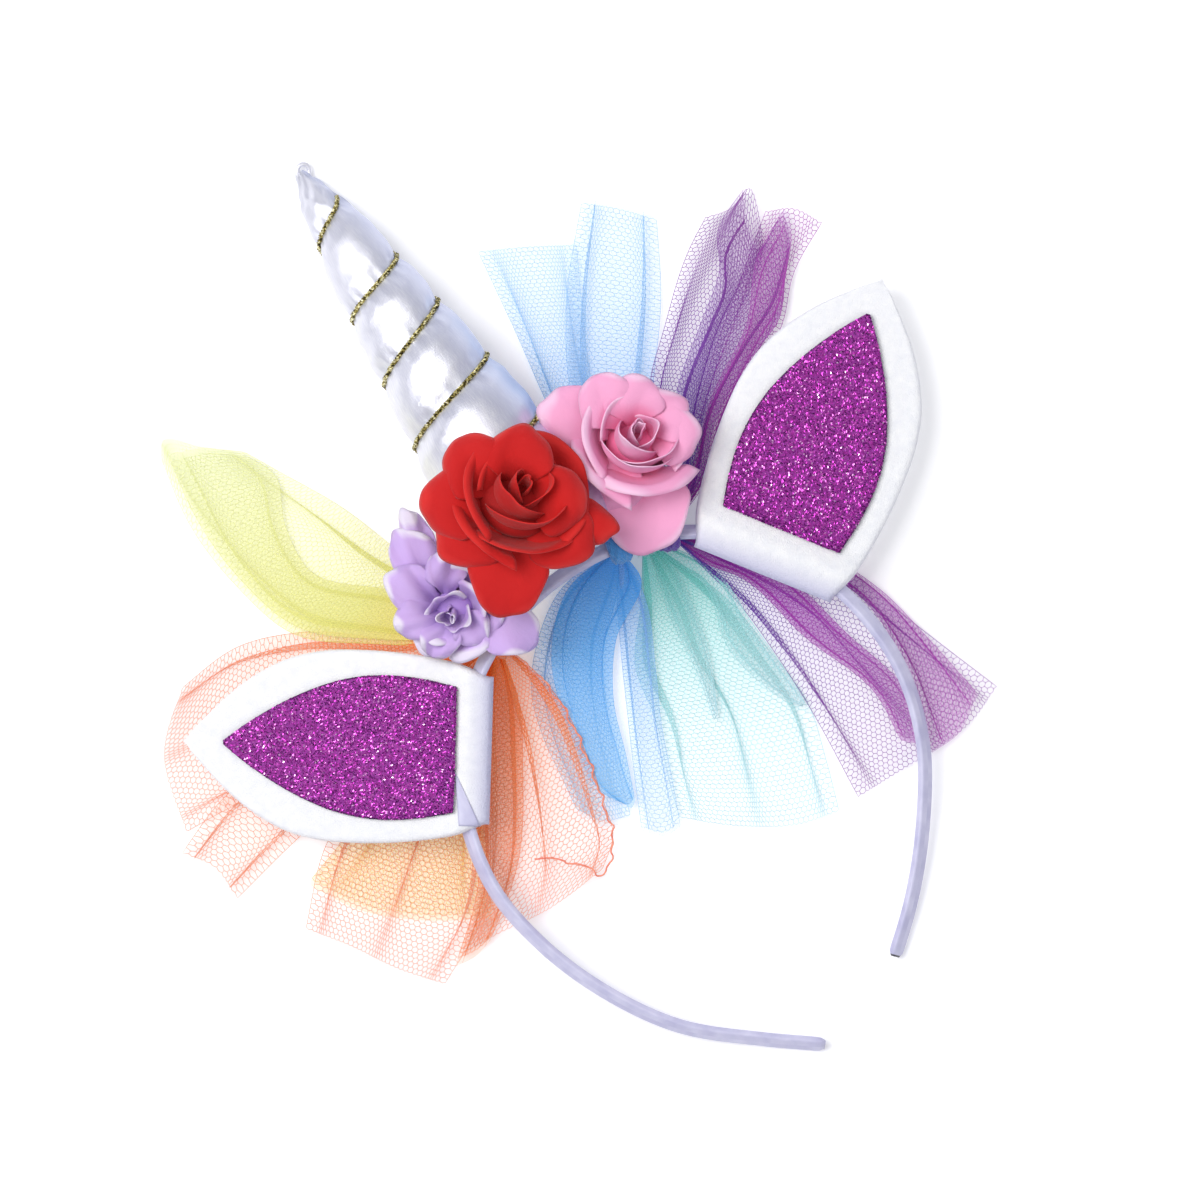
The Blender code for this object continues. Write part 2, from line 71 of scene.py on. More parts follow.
# places along the ribbon between which the dark core comes to show at the right end
CORE_SHOWS = (429.3, 429.5)
BAND_LINE = [
    (-15.1, -80.4), (-28.3, -68.9), (-45.4, -51.5), (-56.1, -31.9), (-62.7, -10.1),
    (-64.2, 9.1), (-60.4, 26.0), (-54.0, 39.5), (-44.5, 50.8), (-33.0, 60.0),
    (-17.0, 66.6), (-1.0, 68.8), (15.0, 67.6), (30.0, 62.8), (41.5, 55.4),
    (52.5, 43.8), (60.0, 29.0), (64.0, 12.2), (63.5, -7.9), (57.0, -26.9),
    (43.6, -45.9), (26.4, -63.2), (15.1, -71.9),
]

band_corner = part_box("headband")[0]
shift = np.array((band_corner[0], band_corner[1], 0)) - np.array((*BAND_DRAWN_CORNER, 0)) * MM


def laid(points):
    """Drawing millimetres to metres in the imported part's frame."""
    return np.asarray(points, float) * MM + shift


def smooth(table, at):
    """Read a table's later columns at places in its first one, on a smooth curve."""
    table = np.asarray(table, float)
    marks, values = table[:, 0], table[:, 1:]
    slopes = np.gradient(values, marks, axis=0)
    at = np.clip(np.asarray(at, float), marks[0], marks[-1])
    row = np.clip(np.searchsorted(marks, at, side="right") - 1, 0, len(marks) - 2)
    span = (marks[row + 1] - marks[row])[..., None]
    t = (at - marks[row])[..., None] / span
    return ((2 * t**3 - 3 * t**2 + 1) * values[row] + (t**3 - 2 * t**2 + t) * span * slopes[row]
            + (3 * t**2 - 2 * t**3) * values[row + 1] + (t**3 - t**2) * span * slopes[row + 1])


def curve_through(points, shares):
    """Points at shares of the length of a smooth curve through a list of points."""
    points = np.asarray(points, float)
    steps = np.linalg.norm(np.diff(points[:, :2], axis=0), axis=1)
    marks = np.concatenate([[0], np.cumsum(steps)])
    return smooth(np.column_stack([marks, points]), np.asarray(shares) * marks[-1])


def band_height(y):
    """Height of the band's middle, which rises from its open ends to its crown."""
    share = (y - BAND_END[0]) / (BAND_CROWN[0] - BAND_END[0])
    return np.maximum(BAND_END[1] + share * (BAND_CROWN[1] - BAND_END[1]), BAND_END[1])


def band_course(steps):
    """Middle points of the band and its outward directions."""
    line = curve_through(BAND_LINE, np.linspace(0, 1, steps))
    along = np.gradient(line, axis=0)
    along /= np.linalg.norm(along, axis=1)[:, None]
    middle = np.column_stack([line, band_height(line[:, 1])])
    outward = np.column_stack([-along[:, 1], along[:, 0], np.zeros(steps)])
    return middle, outward


def tint(code):
    """Linear colour of a six-digit screen colour."""
    parts = [int(code[k:k + 2], 16) / 255 for k in (1, 3, 5)]
    return tuple(c / 12.92 if c <= 0.04045 else ((c + 0.055) / 1.055) ** 2.4 for c in parts)


class Wire:
    """A node's output; arithmetic on it adds Math nodes to the same tree."""

    def __init__(self, tree, socket=None):
        self.tree = tree
        self.socket = socket

    def node(self, kind, settings=None, sockets=None, output=0):
        """Add a node, its settings first, and then the values or links of its sockets.
        A list of links goes into one socket that takes several."""
        made = self.tree.nodes.new(kind)
        for name, value in (settings or {}).items():
            if name == "stops":
                while len(made.color_ramp.elements) > 1:
                    made.color_ramp.elements.remove(made.color_ramp.elements[-1])
                made.color_ramp.elements[0].position = value[0][0]
                for place, _ in value[1:]:
                    made.color_ramp.elements.new(place)
                for element, (_, colour) in zip(made.color_ramp.elements, value):
                    element.color = (*colour, 1)
            else:
                setattr(made, name, value)
        for name, value in (sockets or {}).items():
            if isinstance(value, Wire):
                self.tree.links.new(value.socket, made.inputs[name])
            elif isinstance(value, list):
                for link in value:
                    self.tree.links.new(link.socket, made.inputs[name])
            else:
                made.inputs[name].default_value = value
        return Wire(self.tree, made.outputs[output])

    def beside(self, output):
        """Another output of the same node."""
        return Wire(self.tree, self.socket.node.outputs[output])

    def math(self, operation, first, second=0.0):
        return self.node("ShaderNodeMath", {"operation": operation}, {0: first, 1: second})

    def __add__(self, other):
        return self.math("ADD", self, other)

    __radd__ = __add__

    def __mul__(self, other):
        return self.math("MULTIPLY", self, other)

    __rmul__ = __mul__

    def within(self, low, high):
        """The share from low to high, held between 0 and 1."""
        return self.node("ShaderNodeMapRange", None,
                         {"Value": self, "From Min": low, "From Max": high})

    def part(self, axis):
        """One of a vector's three numbers."""
        return self.node("ShaderNodeSeparateXYZ", None, {0: self}, axis)

    def colours(self, *stops):
        """A colour ramp over this value; each stop is a place and a screen colour."""
        return self.node("ShaderNodeValToRGB", {"stops": [(p, tint(c)) for p, c in stops]},
                         {0: self})

    def mixed(self, first, second):
        """The first colour where this value is 0, the second where it is 1."""
        return self.node("ShaderNodeMix", {"data_type": "RGBA"}, {0: self, 6: first, 7: second}, 2)

    def object_place(self):
        """Place in the piece's own metres."""
        return self.node("ShaderNodeTexCoord", None, None, "Object")

    def cloth_place(self):
        """Place on the flat cloth that the piece is made of."""
        return self.node("ShaderNodeUVMap", {"uv_map": "cloth"})

    def value(self, name):
        """A number kept on the mesh's points."""
        return self.node("ShaderNodeAttribute", {"attribute_name": name}, None, "Fac")

    def noise(self, place, scale, detail=2.0, stretch=(1, 1, 1)):
        """Cloudy noise from 0 to 1; a stretch above 1 makes it finer along that axis."""
        spread = self.node("ShaderNodeMapping", None, {0: place, "Scale": stretch})
        return self.node("ShaderNodeTexNoise", None, {0: spread, "Scale": scale, "Detail": detail})

    def weave(self, place, across, along):
        """Threads crossing at two pitches, from 0 to 1; the pitches are turns per unit."""
        warp = self.math("SINE", place.part(0) * (2 * math.pi * across))
        weft = self.math("SINE", place.part(1) * (2 * math.pi * along))
        return warp * weft * 0.5 + 0.5

    def bump(self, height, distance, strength=1.0):
        """The surface's normal, tipped by a height; the distance is the height of 1 in metres."""
        return self.node("ShaderNodeBump", None,
                         {"Strength": strength, "Distance": distance, "Height": height})


def new_finish(name, roughness, constants=None, **fed):
    """A material; fed is a function for each shader socket that changes over the surface."""
    material = bpy.data.materials.new(name)
    material.use_nodes = True
    tree = material.node_tree
    shader = tree.nodes["Principled BSDF"]
    shader.inputs["Roughness"].default_value = roughness
    for socket, value in (constants or {}).items():
        shader.inputs[socket].default_value = value
    for socket, build in fed.items():
        tree.links.new(build(Wire(tree)).socket, shader.inputs[socket.replace("_", " ")])
    return material


def new_object(name, data):
    """An object of the scene from its mesh, camera or light."""
    made = bpy.data.objects.new(name, data)
    bpy.context.scene.collection.objects.link(made)
    return made


def make_grid(name, points, cloth, around=False, marks=None):
    """Mesh of a grid of points; cloth is each point's place on the flat cloth.
    A grid that goes around has one column of places more than of points, and closed ends."""
    rows, columns = points.shape[:2]
    faces, places = [], []
    for i in range(rows - 1):
        for j in range(columns if around else columns - 1):
            k = (j + 1) % columns
            here, below = i * columns, (i + 1) * columns
            faces.append((here + j, here + k, below + k, below + j))
            places += [cloth[i, j], cloth[i, j + 1], cloth[i + 1, j + 1], cloth[i + 1, j]]
    if around:
        for i in (0, rows - 1):
            faces.append(tuple(i * columns + j for j in range(columns)))
            places += [cloth[i, j] for j in range(columns)]
    mesh = bpy.data.meshes.new(name)
    mesh.from_pydata(laid(points).reshape(-1, 3).tolist(), [], faces)
    mesh.uv_layers.new(name="cloth").data.foreach_set("uv", np.ravel(places))
    for key, values in (marks or {}).items():
        attribute = mesh.attributes.new(key, "FLOAT", "POINT")
        attribute.data.foreach_set("value", np.ravel(values).astype(np.float32))
    mesh.shade_smooth()
    if around:
        turn_out(mesh)
    return new_object(name, mesh)


def turn_out(mesh):
    """Merge a closed mesh's doubled points and turn its faces outwards."""
    body = bmesh.new()
    body.from_mesh(mesh)
    bmesh.ops.remove_doubles(body, verts=body.verts, dist=1e-7)
    bmesh.ops.recalc_face_normals(body, faces=body.faces)
    body.to_mesh(mesh)
    body.free()


def cloth_grid(rows, columns, length, width, around=False):
    """Places on a flat cloth in millimetres, first across and then along."""
    across = np.linspace(0, width, columns + 1 if around else columns)
    return np.stack(np.meshgrid(across, np.linspace(0, length, rows)), axis=-1)


def dress(piece, material, slot, *nodes):
    """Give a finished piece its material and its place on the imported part."""
    piece.data.materials.clear()
    piece.data.materials.append(material)
    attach(piece, "root")
    if nodes:
        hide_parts(*nodes)
    return piece


def squared(wave, power, half_size):
    """A sine or cosine round a section, drawn towards a box; half_size is its half width."""
    return np.sign(wave) * np.abs(wave) ** power * half_size


def band_sweep(name, steps, sides, grow):
    """The band's shape, grown by a distance all round: a rolled strip with blunt ends."""
    middle, outward = band_course(steps)
    turn = np.linspace(0, 2 * math.pi, sides, endpoint=False)
    across = squared(np.cos(turn), BAND_SQUARE_ACROSS, BAND_THICK / 2 + grow)
    up = squared(np.sin(turn), BAND_SQUARE_UP, BAND_WIDE / 2 + grow)
    rolled = across * math.cos(BAND_ROLL) - up * math.sin(BAND_ROLL)
    raised = across * math.sin(BAND_ROLL) + up * math.cos(BAND_ROLL)
    end = np.minimum(np.arange(steps), np.arange(steps)[::-1]) / END_STEPS
    narrow = np.sqrt(1 - (1 - np.minimum(end, 1)) ** 2) * (1 - END_SHARE) + END_SHARE
    section = outward[:, None, :] * rolled[None, :, None] + np.array((0, 0, 1)) * raised[None, :, None]
    points = middle[:, None, :] + section * narrow[:, None, None]
    return make_grid(name, points, cloth_grid(steps, sides, RIBBON_LENGTH, RIBBON_WIDTH, True), True)


satin = new_finish(
    "lilac_satin", 0.34, {"Sheen Weight": 0.25, "Sheen Roughness": 0.35, "Specular IOR Level": 0.6},
    Base_Color=lambda w: w.cloth_place().part(1).within(*CORE_SHOWS).mixed(
        w.noise(w.cloth_place(), 0.12, 3).within(0.35, 0.65).colours(
            (0, "#c3c1e0"), (0.5, "#cfcde8"), (1, "#dad8f0")),
        (*tint("#2a2833"), 1)),
    Normal=lambda w: w.bump(w.weave(w.cloth_place(), 0.9, 3.2), 0.00003))
band = dress(band_sweep("satin_band", BAND_STEPS, BAND_SIDES, 0), satin, "satin", "headband")


# Ears: leaves of thick white felt, folded round the band at their root and glued to
# themselves, so the fold is a fat roll with the band in it and the tip is plain felt.
# name, middle of the fold, tip, distance out to the glitter
EARS = [
    ("ear_left", (-43.1, 41.9), (-109.4, 93.3), 8.7),
    ("ear_right", (48.8, 37.1), (122.6, 82.9), 12.2),
]
EAR_THICK = 4.4
EAR_FOLD_THICK = 9.4
EAR_TIP_HEIGHT = 9.4
# distance out as a share of the length, half width
EAR_SHAPE = [(0, 20.6), (0.10, 24.0), (0.16, 25.0), (0.29, 26.4), (0.41, 26.9), (0.56, 26.2),
             (0.66, 24.1), (0.75, 20.3), (0.86, 13.4), (0.94, 6.6), (1.0, 1.0)]
# distance out, how much of the fold's thickness is added
EAR_HUMP = [(-1.4, 0.15), (-0.6, 0.62), (0.8, 0.93), (3.2, 1.0), (7.6, 0.95), (10.5, 0.5),
            (14.0, 0.0)]
EAR_ROWS = 110
EAR_HALF_COLUMNS = 26
# power that rounds the felt's cut side; more is squarer
EAR_EDGE_ROUND = 34
# rows over the fold, how far it reaches behind its line, and how far out they go; then how far out the
# painted shade on the fold reaches
FOLD_ROWS = 12
FOLD_BEHIND = 1.4
FOLD_SPAN = 4
FELT_PAINTED_SHADE_REACH = 7
# how far the felt runs past its tip, where its rounding ends, and how long that is
TIP_PAST = 0.6
TIP_ROUND_END = 0.8
TIP_ROUND = 2.2
TIP_THIN = 0.3
FELT_LONG = 100
# the tunnel cut for the band: room all round it, its steps and sides, and the sharpest angle
# (degrees) that the cut felt is shaded smooth over
FELT_CLEAR = 0.25
TUNNEL_STEPS = 160
TUNNEL_SIDES = 12
FELT_SMOOTH = 50


def ear_half_wide(out, length):
    """Half the ear's width at a distance out from its fold."""
    return smooth(EAR_SHAPE, np.clip(out / length, 0, 1))[..., 0]


def ear_half_thick(out):
    """Half the felt's thickness there, which swells to the fold's over the band."""
    fold = smooth(EAR_HUMP, out)[..., 0]
    return (EAR_THICK + (EAR_FOLD_THICK - EAR_THICK) * fold) / 2


def ear_place(fold, tip, out, wide, share):
    """Middle layer of an ear: distance out from its fold, half width there, -1 to 1 across."""
    axis = np.subtract(tip, fold)
    length = np.linalg.norm(axis)
    axis = axis / length
    across = np.array((-axis[1], axis[0]))
    foot = fold[1] + across[1] * share * EAR_SHAPE[0][1]
    flat = fold + axis * out[..., None] + across * (wide * share)[..., None]
    droop = np.clip(out / length, 0, 1)
    droop = droop * droop * (3 - 2 * droop)
    height = band_height(foot) * (1 - droop) + EAR_TIP_HEIGHT * droop
    return np.concatenate([flat, height[..., None]], axis=-1)


def leaf_ring():
    """Shares across and up for points around a flat leaf with a rounded edge."""
    across = np.sin(np.linspace(-1, 1, 2 * EAR_HALF_COLUMNS + 1)[:-1] * math.pi / 2)
    thick = np.sqrt(1 - np.abs(across) ** EAR_EDGE_ROUND)
    return np.concatenate([across, -across]), np.concatenate([thick, -thick])


def make_ear(name, fold, tip):
    """One ear: rows from behind its fold to its tip, each going round the felt."""
    length = math.dist(fold, tip)
    tight = (1 - np.cos(np.linspace(0, math.pi / 2, FOLD_ROWS))) * FOLD_SPAN - FOLD_BEHIND
    outs = np.concatenate([tight, np.linspace(tight[-1], length + TIP_PAST, EAR_ROWS)[1:]])[:, None]
    across, thick = leaf_ring()
    share = np.broadcast_to(across, (len(outs), len(across)))
    round_tip = np.sqrt(np.clip((length + TIP_ROUND_END - outs) / TIP_ROUND, 0, 1))
    points = ear_place(fold, tip, np.broadcast_to(outs, share.shape),
                       ear_half_wide(outs, length) * round_tip, share)
    points[..., 2] += ear_half_thick(outs) * thick * (TIP_THIN + (1 - TIP_THIN) * round_tip)
    # painted shade where the felt curls round the band: full behind the fold's line, fading out over its
    # reach; kept as the fold value
    felt_painted_shade = np.broadcast_to(np.clip(1 - (outs + FOLD_BEHIND) / FELT_PAINTED_SHADE_REACH, 0, 1), share.shape)
    return make_grid(name, points, cloth_grid(len(outs), share.shape[1], length, FELT_LONG, True), True,
                     {"fold": felt_painted_shade})


def cut_away(piece, tool):
    """Take the tool's shape out of a piece, and remove the tool."""
    cut = piece.modifiers.new("tunnel", "BOOLEAN")
    cut.operation = "DIFFERENCE"
    cut.solver = "EXACT"
    cut.object = tool
    graph = bpy.context.evaluated_depsgraph_get()
    mesh = bpy.data.meshes.new_from_object(piece.evaluated_get(graph), depsgraph=graph)
    piece.modifiers.clear()
    piece.data = mesh
    mesh.shade_smooth()
    mesh.set_sharp_from_angle(angle=math.radians(FELT_SMOOTH))
    bpy.data.objects.remove(tool)


# white felt of a faint random tone; the fold value mixes in a lavender-grey painted shade over the fold
felt = new_finish(
    "white_felt", 0.92, {"Sheen Weight": 0.35, "Sheen Roughness": 0.6, "Specular IOR Level": 0.2},
    Base_Color=lambda w: w.value("fold").mixed(
        w.noise(w.object_place(), 420, 5).within(0.25, 0.75).colours((0, "#f3f4f8"), (1, "#ffffff")),
        (*tint("#c9c8e4"), 1)),
    Normal=lambda w: w.bump(w.noise(w.object_place(), 2600, 5) + w.noise(w.object_place(), 380, 4),
                            0.00026))
for name, fold, tip, _ in EARS:
    ear = make_ear(f"{name}_felt", fold, tip)
    cut_away(ear, band_sweep("band_tunnel", TUNNEL_STEPS, TUNNEL_SIDES, FELT_CLEAR))
    dress(ear, felt, "felt", name)


# Painted crease shade: where the left ear's fold opens, a flat wedge of the band's satin lies just over
# the felt, standing for the shade in the crease between the fold's roll and the flat leaf.
# corners: distance out from the fold, distance aside from the ear's middle
SHADE_WEDGE_TOP = (8.4, 6.0)
SHADE_WEDGE_FOOT = ((7.0, 21.0), (1.0, 21.0))
SHADE_WEDGE_LIFT = 0.14
SHADE_WEDGE_THICK = 0.25
SHADE_WEDGE_ROWS = 24
SHADE_WEDGE_COLUMNS = 9
SHADE_WEDGE_CLOTH = (15, 8)

_, fold, tip, _ = EARS[0]
along = np.linspace(0, 1, SHADE_WEDGE_ROWS)[:, None]
across = np.linspace(0, 1, SHADE_WEDGE_COLUMNS)[None, :]
outs, asides = [top + (near * (1 - across) + far * across - top) * along
                for top, near, far in zip(SHADE_WEDGE_TOP, *SHADE_WEDGE_FOOT)]
wide = ear_half_wide(outs, math.dist(fold, tip))
points = ear_place(fold, tip, outs, wide, asides / wide)
points[..., 2] += ear_half_thick(outs) * np.sqrt(1 - (asides / wide) ** EAR_EDGE_ROUND) + SHADE_WEDGE_LIFT
# a thin sheet of lavender satin laid as painted shade in the fold's crease
crease_shade_wedge = make_grid("satin_tuck", points, cloth_grid(SHADE_WEDGE_ROWS, SHADE_WEDGE_COLUMNS, *SHADE_WEDGE_CLOTH))
wall = crease_shade_wedge.modifiers.new("cloth", "SOLIDIFY")
wall.thickness = SHADE_WEDGE_THICK * MM
dress(crease_shade_wedge, satin, "satin")


# Glitter: a smaller leaf of thin foam on each ear, coated with purple hexagon flakes
# that lie at all tilts. The foam's cut side stays dark.
GLITTER_LENGTH = 64.5
GLITTER_THICK = 1.5
GLITTER_LIFT = 0.2
# distance along the foam as a share of its length, half width
GLITTER_SHAPE = [(0, 17.5), (0.15, 19.4), (0.31, 20.1), (0.5, 18.4), (0.68, 14.0),
                 (0.83, 8.6), (0.93, 4.2), (1.0, 0.6)]
GLITTER_ROWS = 70
GLITTER_CLOTH_WIDE = 80
# height as a share of half the thickness, above which the foam's rounded side is coated
GLITTER_TOP = 0.7
FLAKE_RADIUS = 0.34
FLAKES_PER_SQUARE_MM = 4.6
FLAKE_TILT = 0.45
# flakes lie where the foam's surface faces up this much
FLAKE_UPRIGHT = 0.6


def make_glitter(name, fold, tip, start):
    """The foam on an ear, starting at a distance out from the fold."""
    length = math.dist(fold, tip)
    outs = start + GLITTER_LENGTH * np.linspace(0, 1, GLITTER_ROWS)[:, None]
    wide = smooth(GLITTER_SHAPE, (outs - start) / GLITTER_LENGTH)[..., 0]
    ear_wide = ear_half_wide(outs, length)
    across, thick = leaf_ring()
    share = np.broadcast_to(across, (len(outs), len(across)))
    points = ear_place(fold, tip, np.broadcast_to(outs, share.shape), ear_wide, share * wide / ear_wide)
    points[..., 2] += ear_half_thick(outs) + GLITTER_LIFT + GLITTER_THICK / 2 * (1 + thick)
    top = np.broadcast_to((thick > GLITTER_TOP) * 1.0, share.shape)
    places = cloth_grid(len(outs), share.shape[1], GLITTER_LENGTH, GLITTER_CLOTH_WIDE, True)
    return make_grid(name, points, places, True, {"top": top})


def new_tree(name, **inputs):
    """A Geometry Nodes tree with a geometry input and named ones; returns it with their wires."""
    tree = bpy.data.node_groups.new(name, "GeometryNodeTree")
    tree.interface.new_socket("Geometry", in_out="OUTPUT", socket_type="NodeSocketGeometry")
    tree.interface.new_socket("Geometry", in_out="INPUT", socket_type="NodeSocketGeometry")
    for key, kind in inputs.items():
        tree.interface.new_socket(key, in_out="INPUT", socket_type=f"NodeSocket{kind}")
    given = tree.nodes.new("NodeGroupInput")
    return tree, [Wire(tree, socket) for socket in list(given.outputs)[:-1]]


def end_tree(geometry, material):
    """Close a tree: real geometry, in its material."""
    real = geometry.node("GeometryNodeRealizeInstances", None, {0: geometry})
    coated = geometry.node("GeometryNodeSetMaterial", None, {"Geometry": real, "Material": material})
    geometry.tree.links.new(coated.socket, geometry.tree.nodes.new("NodeGroupOutput").inputs[0])


def grow(base, tree, **values):
    """Run a tree on an object, and keep what it makes as the object's plain mesh."""
    modifier = base.modifiers.new(tree.name, "NODES")
    modifier.node_group = tree
    for item in tree.interface.items_tree:
        if item.in_out == "INPUT" and item.name in values:
            modifier[item.identifier] = values[item.name]
    graph = bpy.context.evaluated_depsgraph_get()
    mesh = bpy.data.meshes.new_from_object(base.evaluated_get(graph), preserve_all_data_layers=True,
                                           depsgraph=graph)
    base.modifiers.clear()
    base.data = mesh
    return base


def flake_tree():
    """Scatter hexagon flakes over a surface, each turned and tilted its own way."""
    tree, (surface, size, density, tilt, finish) = new_tree(
        "scatter_flakes", Size="Float", Density="Float", Tilt="Float", Finish="Material")
    normal = surface.node("GeometryNodeInputNormal")
    upright = normal.math("GREATER_THAN", normal.part(2), FLAKE_UPRIGHT)
    points = surface.node("GeometryNodeDistributePointsOnFaces", None,
                          {"Seed": 11, "Mesh": surface, "Selection": upright, "Density": density}, "Points")
    flake = surface.node("GeometryNodeMeshCircle", {"fill_type": "NGON"}, {"Vertices": 6, "Radius": size})
    swing = surface.node("FunctionNodeRandomValue", {"data_type": "FLOAT_VECTOR"},
                         {0: (-1, -1, -3), 1: (1, 1, 3), "Seed": 3})
    tilts = surface.node("ShaderNodeCombineXYZ", None, {0: tilt, 1: tilt, 2: 1.0})
    swing = surface.node("ShaderNodeVectorMath", {"operation": "MULTIPLY"}, {0: swing, 1: tilts})
    swing = surface.node("FunctionNodeEulerToRotation", None, {0: swing})
    turned = surface.node("FunctionNodeRotateRotation", {"rotation_space": "LOCAL"},
                          {0: points.beside("Rotation"), 1: swing})
    placed = surface.node("GeometryNodeInstanceOnPoints", None,
                          {"Points": points, "Instance": flake, "Rotation": turned})
    shade = surface.node("FunctionNodeRandomValue", {"data_type": "FLOAT"}, {"Seed": 8}, 1)
    kept = surface.node("GeometryNodeStoreNamedAttribute", {"data_type": "FLOAT", "domain": "INSTANCE"},
                        {"Geometry": placed, "Name": "shade", "Value": shade})
    end_tree(kept, finish)
    return tree


glitter_foam = new_finish(
    "purple_glitter_foam", 0.5, {"Metallic": 0.2},
    Base_Color=lambda w: w.value("top").mixed((*tint("#3d1045"), 1), (*tint("#8a1a8c"), 1)),
    Normal=lambda w: w.bump(w.noise(w.object_place(), 1800, 3), 0.0002))
glitter_flakes = new_finish(
    "purple_flakes", 0.22, {"Metallic": 0.75, "Specular IOR Level": 0.8},
    Base_Color=lambda w: w.value("shade").colours(
        (0, "#3a0642"), (0.2, "#6c1172"), (0.5, "#a32299"), (0.8, "#c43cb4"), (0.95, "#e678d8"),
        (1, "#ffd6fa")))
scatter = flake_tree()
for name, fold, tip, start in EARS:
    foam = make_glitter(f"{name}_glitter_foam", fold, tip, start)
    flakes = new_object(f"{name}_glitter_flakes", foam.data.copy())
    grow(flakes, scatter, Size=FLAKE_RADIUS * MM, Density=FLAKES_PER_SQUARE_MM / MM**2,
         Tilt=FLAKE_TILT, Finish=glitter_flakes)
    dress(foam, glitter_foam, "glitter_foam", f"{name}_glitter")
    dress(flakes, glitter_flakes, "glitter_foam")


# Horn: a cone of silver-white lame cloth, stuffed firm, lying with its underside on the
# floor. The cord draws it in, so it bulges between the turns, and its tip ends in a loop.
HORN_TIP = (9.1, 203.5)
HORN_BASE = (5.0, 72.3)
HORN_RINGS = 330
HORN_SIDES = 96
HORN_CLOTH_WIDE = 120
# depth of the groove under the cord, at most a share of the radius, and how far it reaches
HORN_GROOVE = 1.3
HORN_GROOVE_SHARE = 0.34
HORN_GROOVE_REACH = 6.5
HORN_BULGE = 0.3
# radius from which the bulges and the puckers are at their full height
BULGE_FULL = 10
PUCKER_FULL = 8
HORN_LOWEST = 0.05
# waves in the cloth: height, waves round the horn, turn for each millimetre, phase
PUCKERS = [(0.22, 17, 0.25, 0)]
PUCKER_REACH = 4.0
SLUBS = [(0.10, 3, 0.35, 0), (0.07, -5, 0.8, 2)]
# the same at the tip, with the distance from it where they are deepest
TIP_CREASES = [((0.30, 5, 0.55, 0), 9), ((0.20, 9, -0.9, 1), 6)]
# distance from the tip, radius
HORN_SHAPE = [(0, 1.1), (3, 2.3), (8, 4.4), (16, 6.8), (39, 11.0), (57, 13.6),
              (76, 16.1), (94, 18.7), (112, 19.8), (126, 19.6), (131.2, 17.0)]
# turns of the cord, y where it is; whole turns are on the right side of the horn
CORD_TURNS = [(0, 191.8), (0.5, 182.0), (1, 168.4), (1.5, 160.4), (2, 151.4), (2.5, 140.4),
              (3, 131.0), (3.5, 121.2), (4, 109.6), (4.5, 99.0), (5, 88.0)]
LOOP_CENTRE = (10.2, 202.9, 2.0)
LOOP_RADIUS = 1.9
LOOP_THICK = 0.65
LOOP_STEPS = 48
LOOP_SIDES = 14
# how far the loop's thread is squashed out of round, and lifted out of flat
LOOP_SQUASH = 0.25
LOOP_WARP = 0.3
LOOP_CLOTH = (12, 4)
# a distance that is too far to matter
FAR = 99.0
horn_length = math.dist(HORN_TIP, HORN_BASE)


def cord_distance(turns):
    """Distance of the cord from the horn's tip after a number of turns."""
    y = smooth(CORD_TURNS, turns)[..., 0]
    return (HORN_TIP[1] - y) * horn_length / (HORN_TIP[1] - HORN_BASE[1])


def cord_nearness(distance, angle):
    """Distance along the horn to the nearest turn of the cord, less than 0 towards the tip."""
    nearest = np.full(np.broadcast(distance, angle).shape, FAR)
    for whole in range(int(CORD_TURNS[-1][0]) + 1):
        turns = whole + (angle % (2 * math.pi)) / (2 * math.pi)
        held = (turns >= 0) & (turns <= CORD_TURNS[-1][0])
        apart = np.where(held, distance - cord_distance(turns), FAR)
        nearest = np.where(np.abs(apart) < np.abs(nearest), apart, nearest)
    return nearest


def horn_place(distance, angle, lift):
    """A point on the horn, at a lift above its smooth cone."""
    share = distance / horn_length
    radius = smooth(HORN_SHAPE, distance)[..., 0]
    x = HORN_TIP[0] + (HORN_BASE[0] - HORN_TIP[0]) * share + np.cos(angle) * (radius + lift)
    y = HORN_TIP[1] + (HORN_BASE[1] - HORN_TIP[1]) * share + 0 * angle
    z = radius + np.sin(angle) * (radius + lift)
    return np.stack(np.broadcast_arrays(x, y, np.maximum(z, HORN_LOWEST)), axis=-1)


def ripple(waves, u, v):
    """Sum of waves over two places; each is its height, turn for each u and each v, and phase."""
    return sum(high * np.sin(u * over_u + v * over_v + phase) for high, over_u, over_v, phase in waves)


def horn_lift(distance, angle):
    """How far the cloth stands off the cone: drawn in at the cord, puckered beside it.
    Returns with it how much it is drawn in, from 0 to 1."""
    near = cord_nearness(distance, angle)
    radius = smooth(HORN_SHAPE, distance)[..., 0]
    deep = np.minimum(HORN_GROOVE, radius * HORN_GROOVE_SHARE)
    reach = np.clip(np.abs(near) / HORN_GROOVE_REACH, 0, 1)
    drawn = deep * (1 - reach) ** 2 * (1 + reach)
    bulge = HORN_BULGE * reach * np.minimum(radius / BULGE_FULL, 1)
    pucker = ripple(PUCKERS, angle, near) * np.exp(-(near / PUCKER_REACH) ** 2)
    pucker = pucker * np.minimum(radius / PUCKER_FULL, 1)
    crease = sum(ripple([wave], angle, distance) * np.exp(-((distance - deepest) / deepest) ** 2)
                 for wave, deepest in TIP_CREASES)
    return bulge - drawn + pucker + crease + ripple(SLUBS, angle, distance), drawn / deep


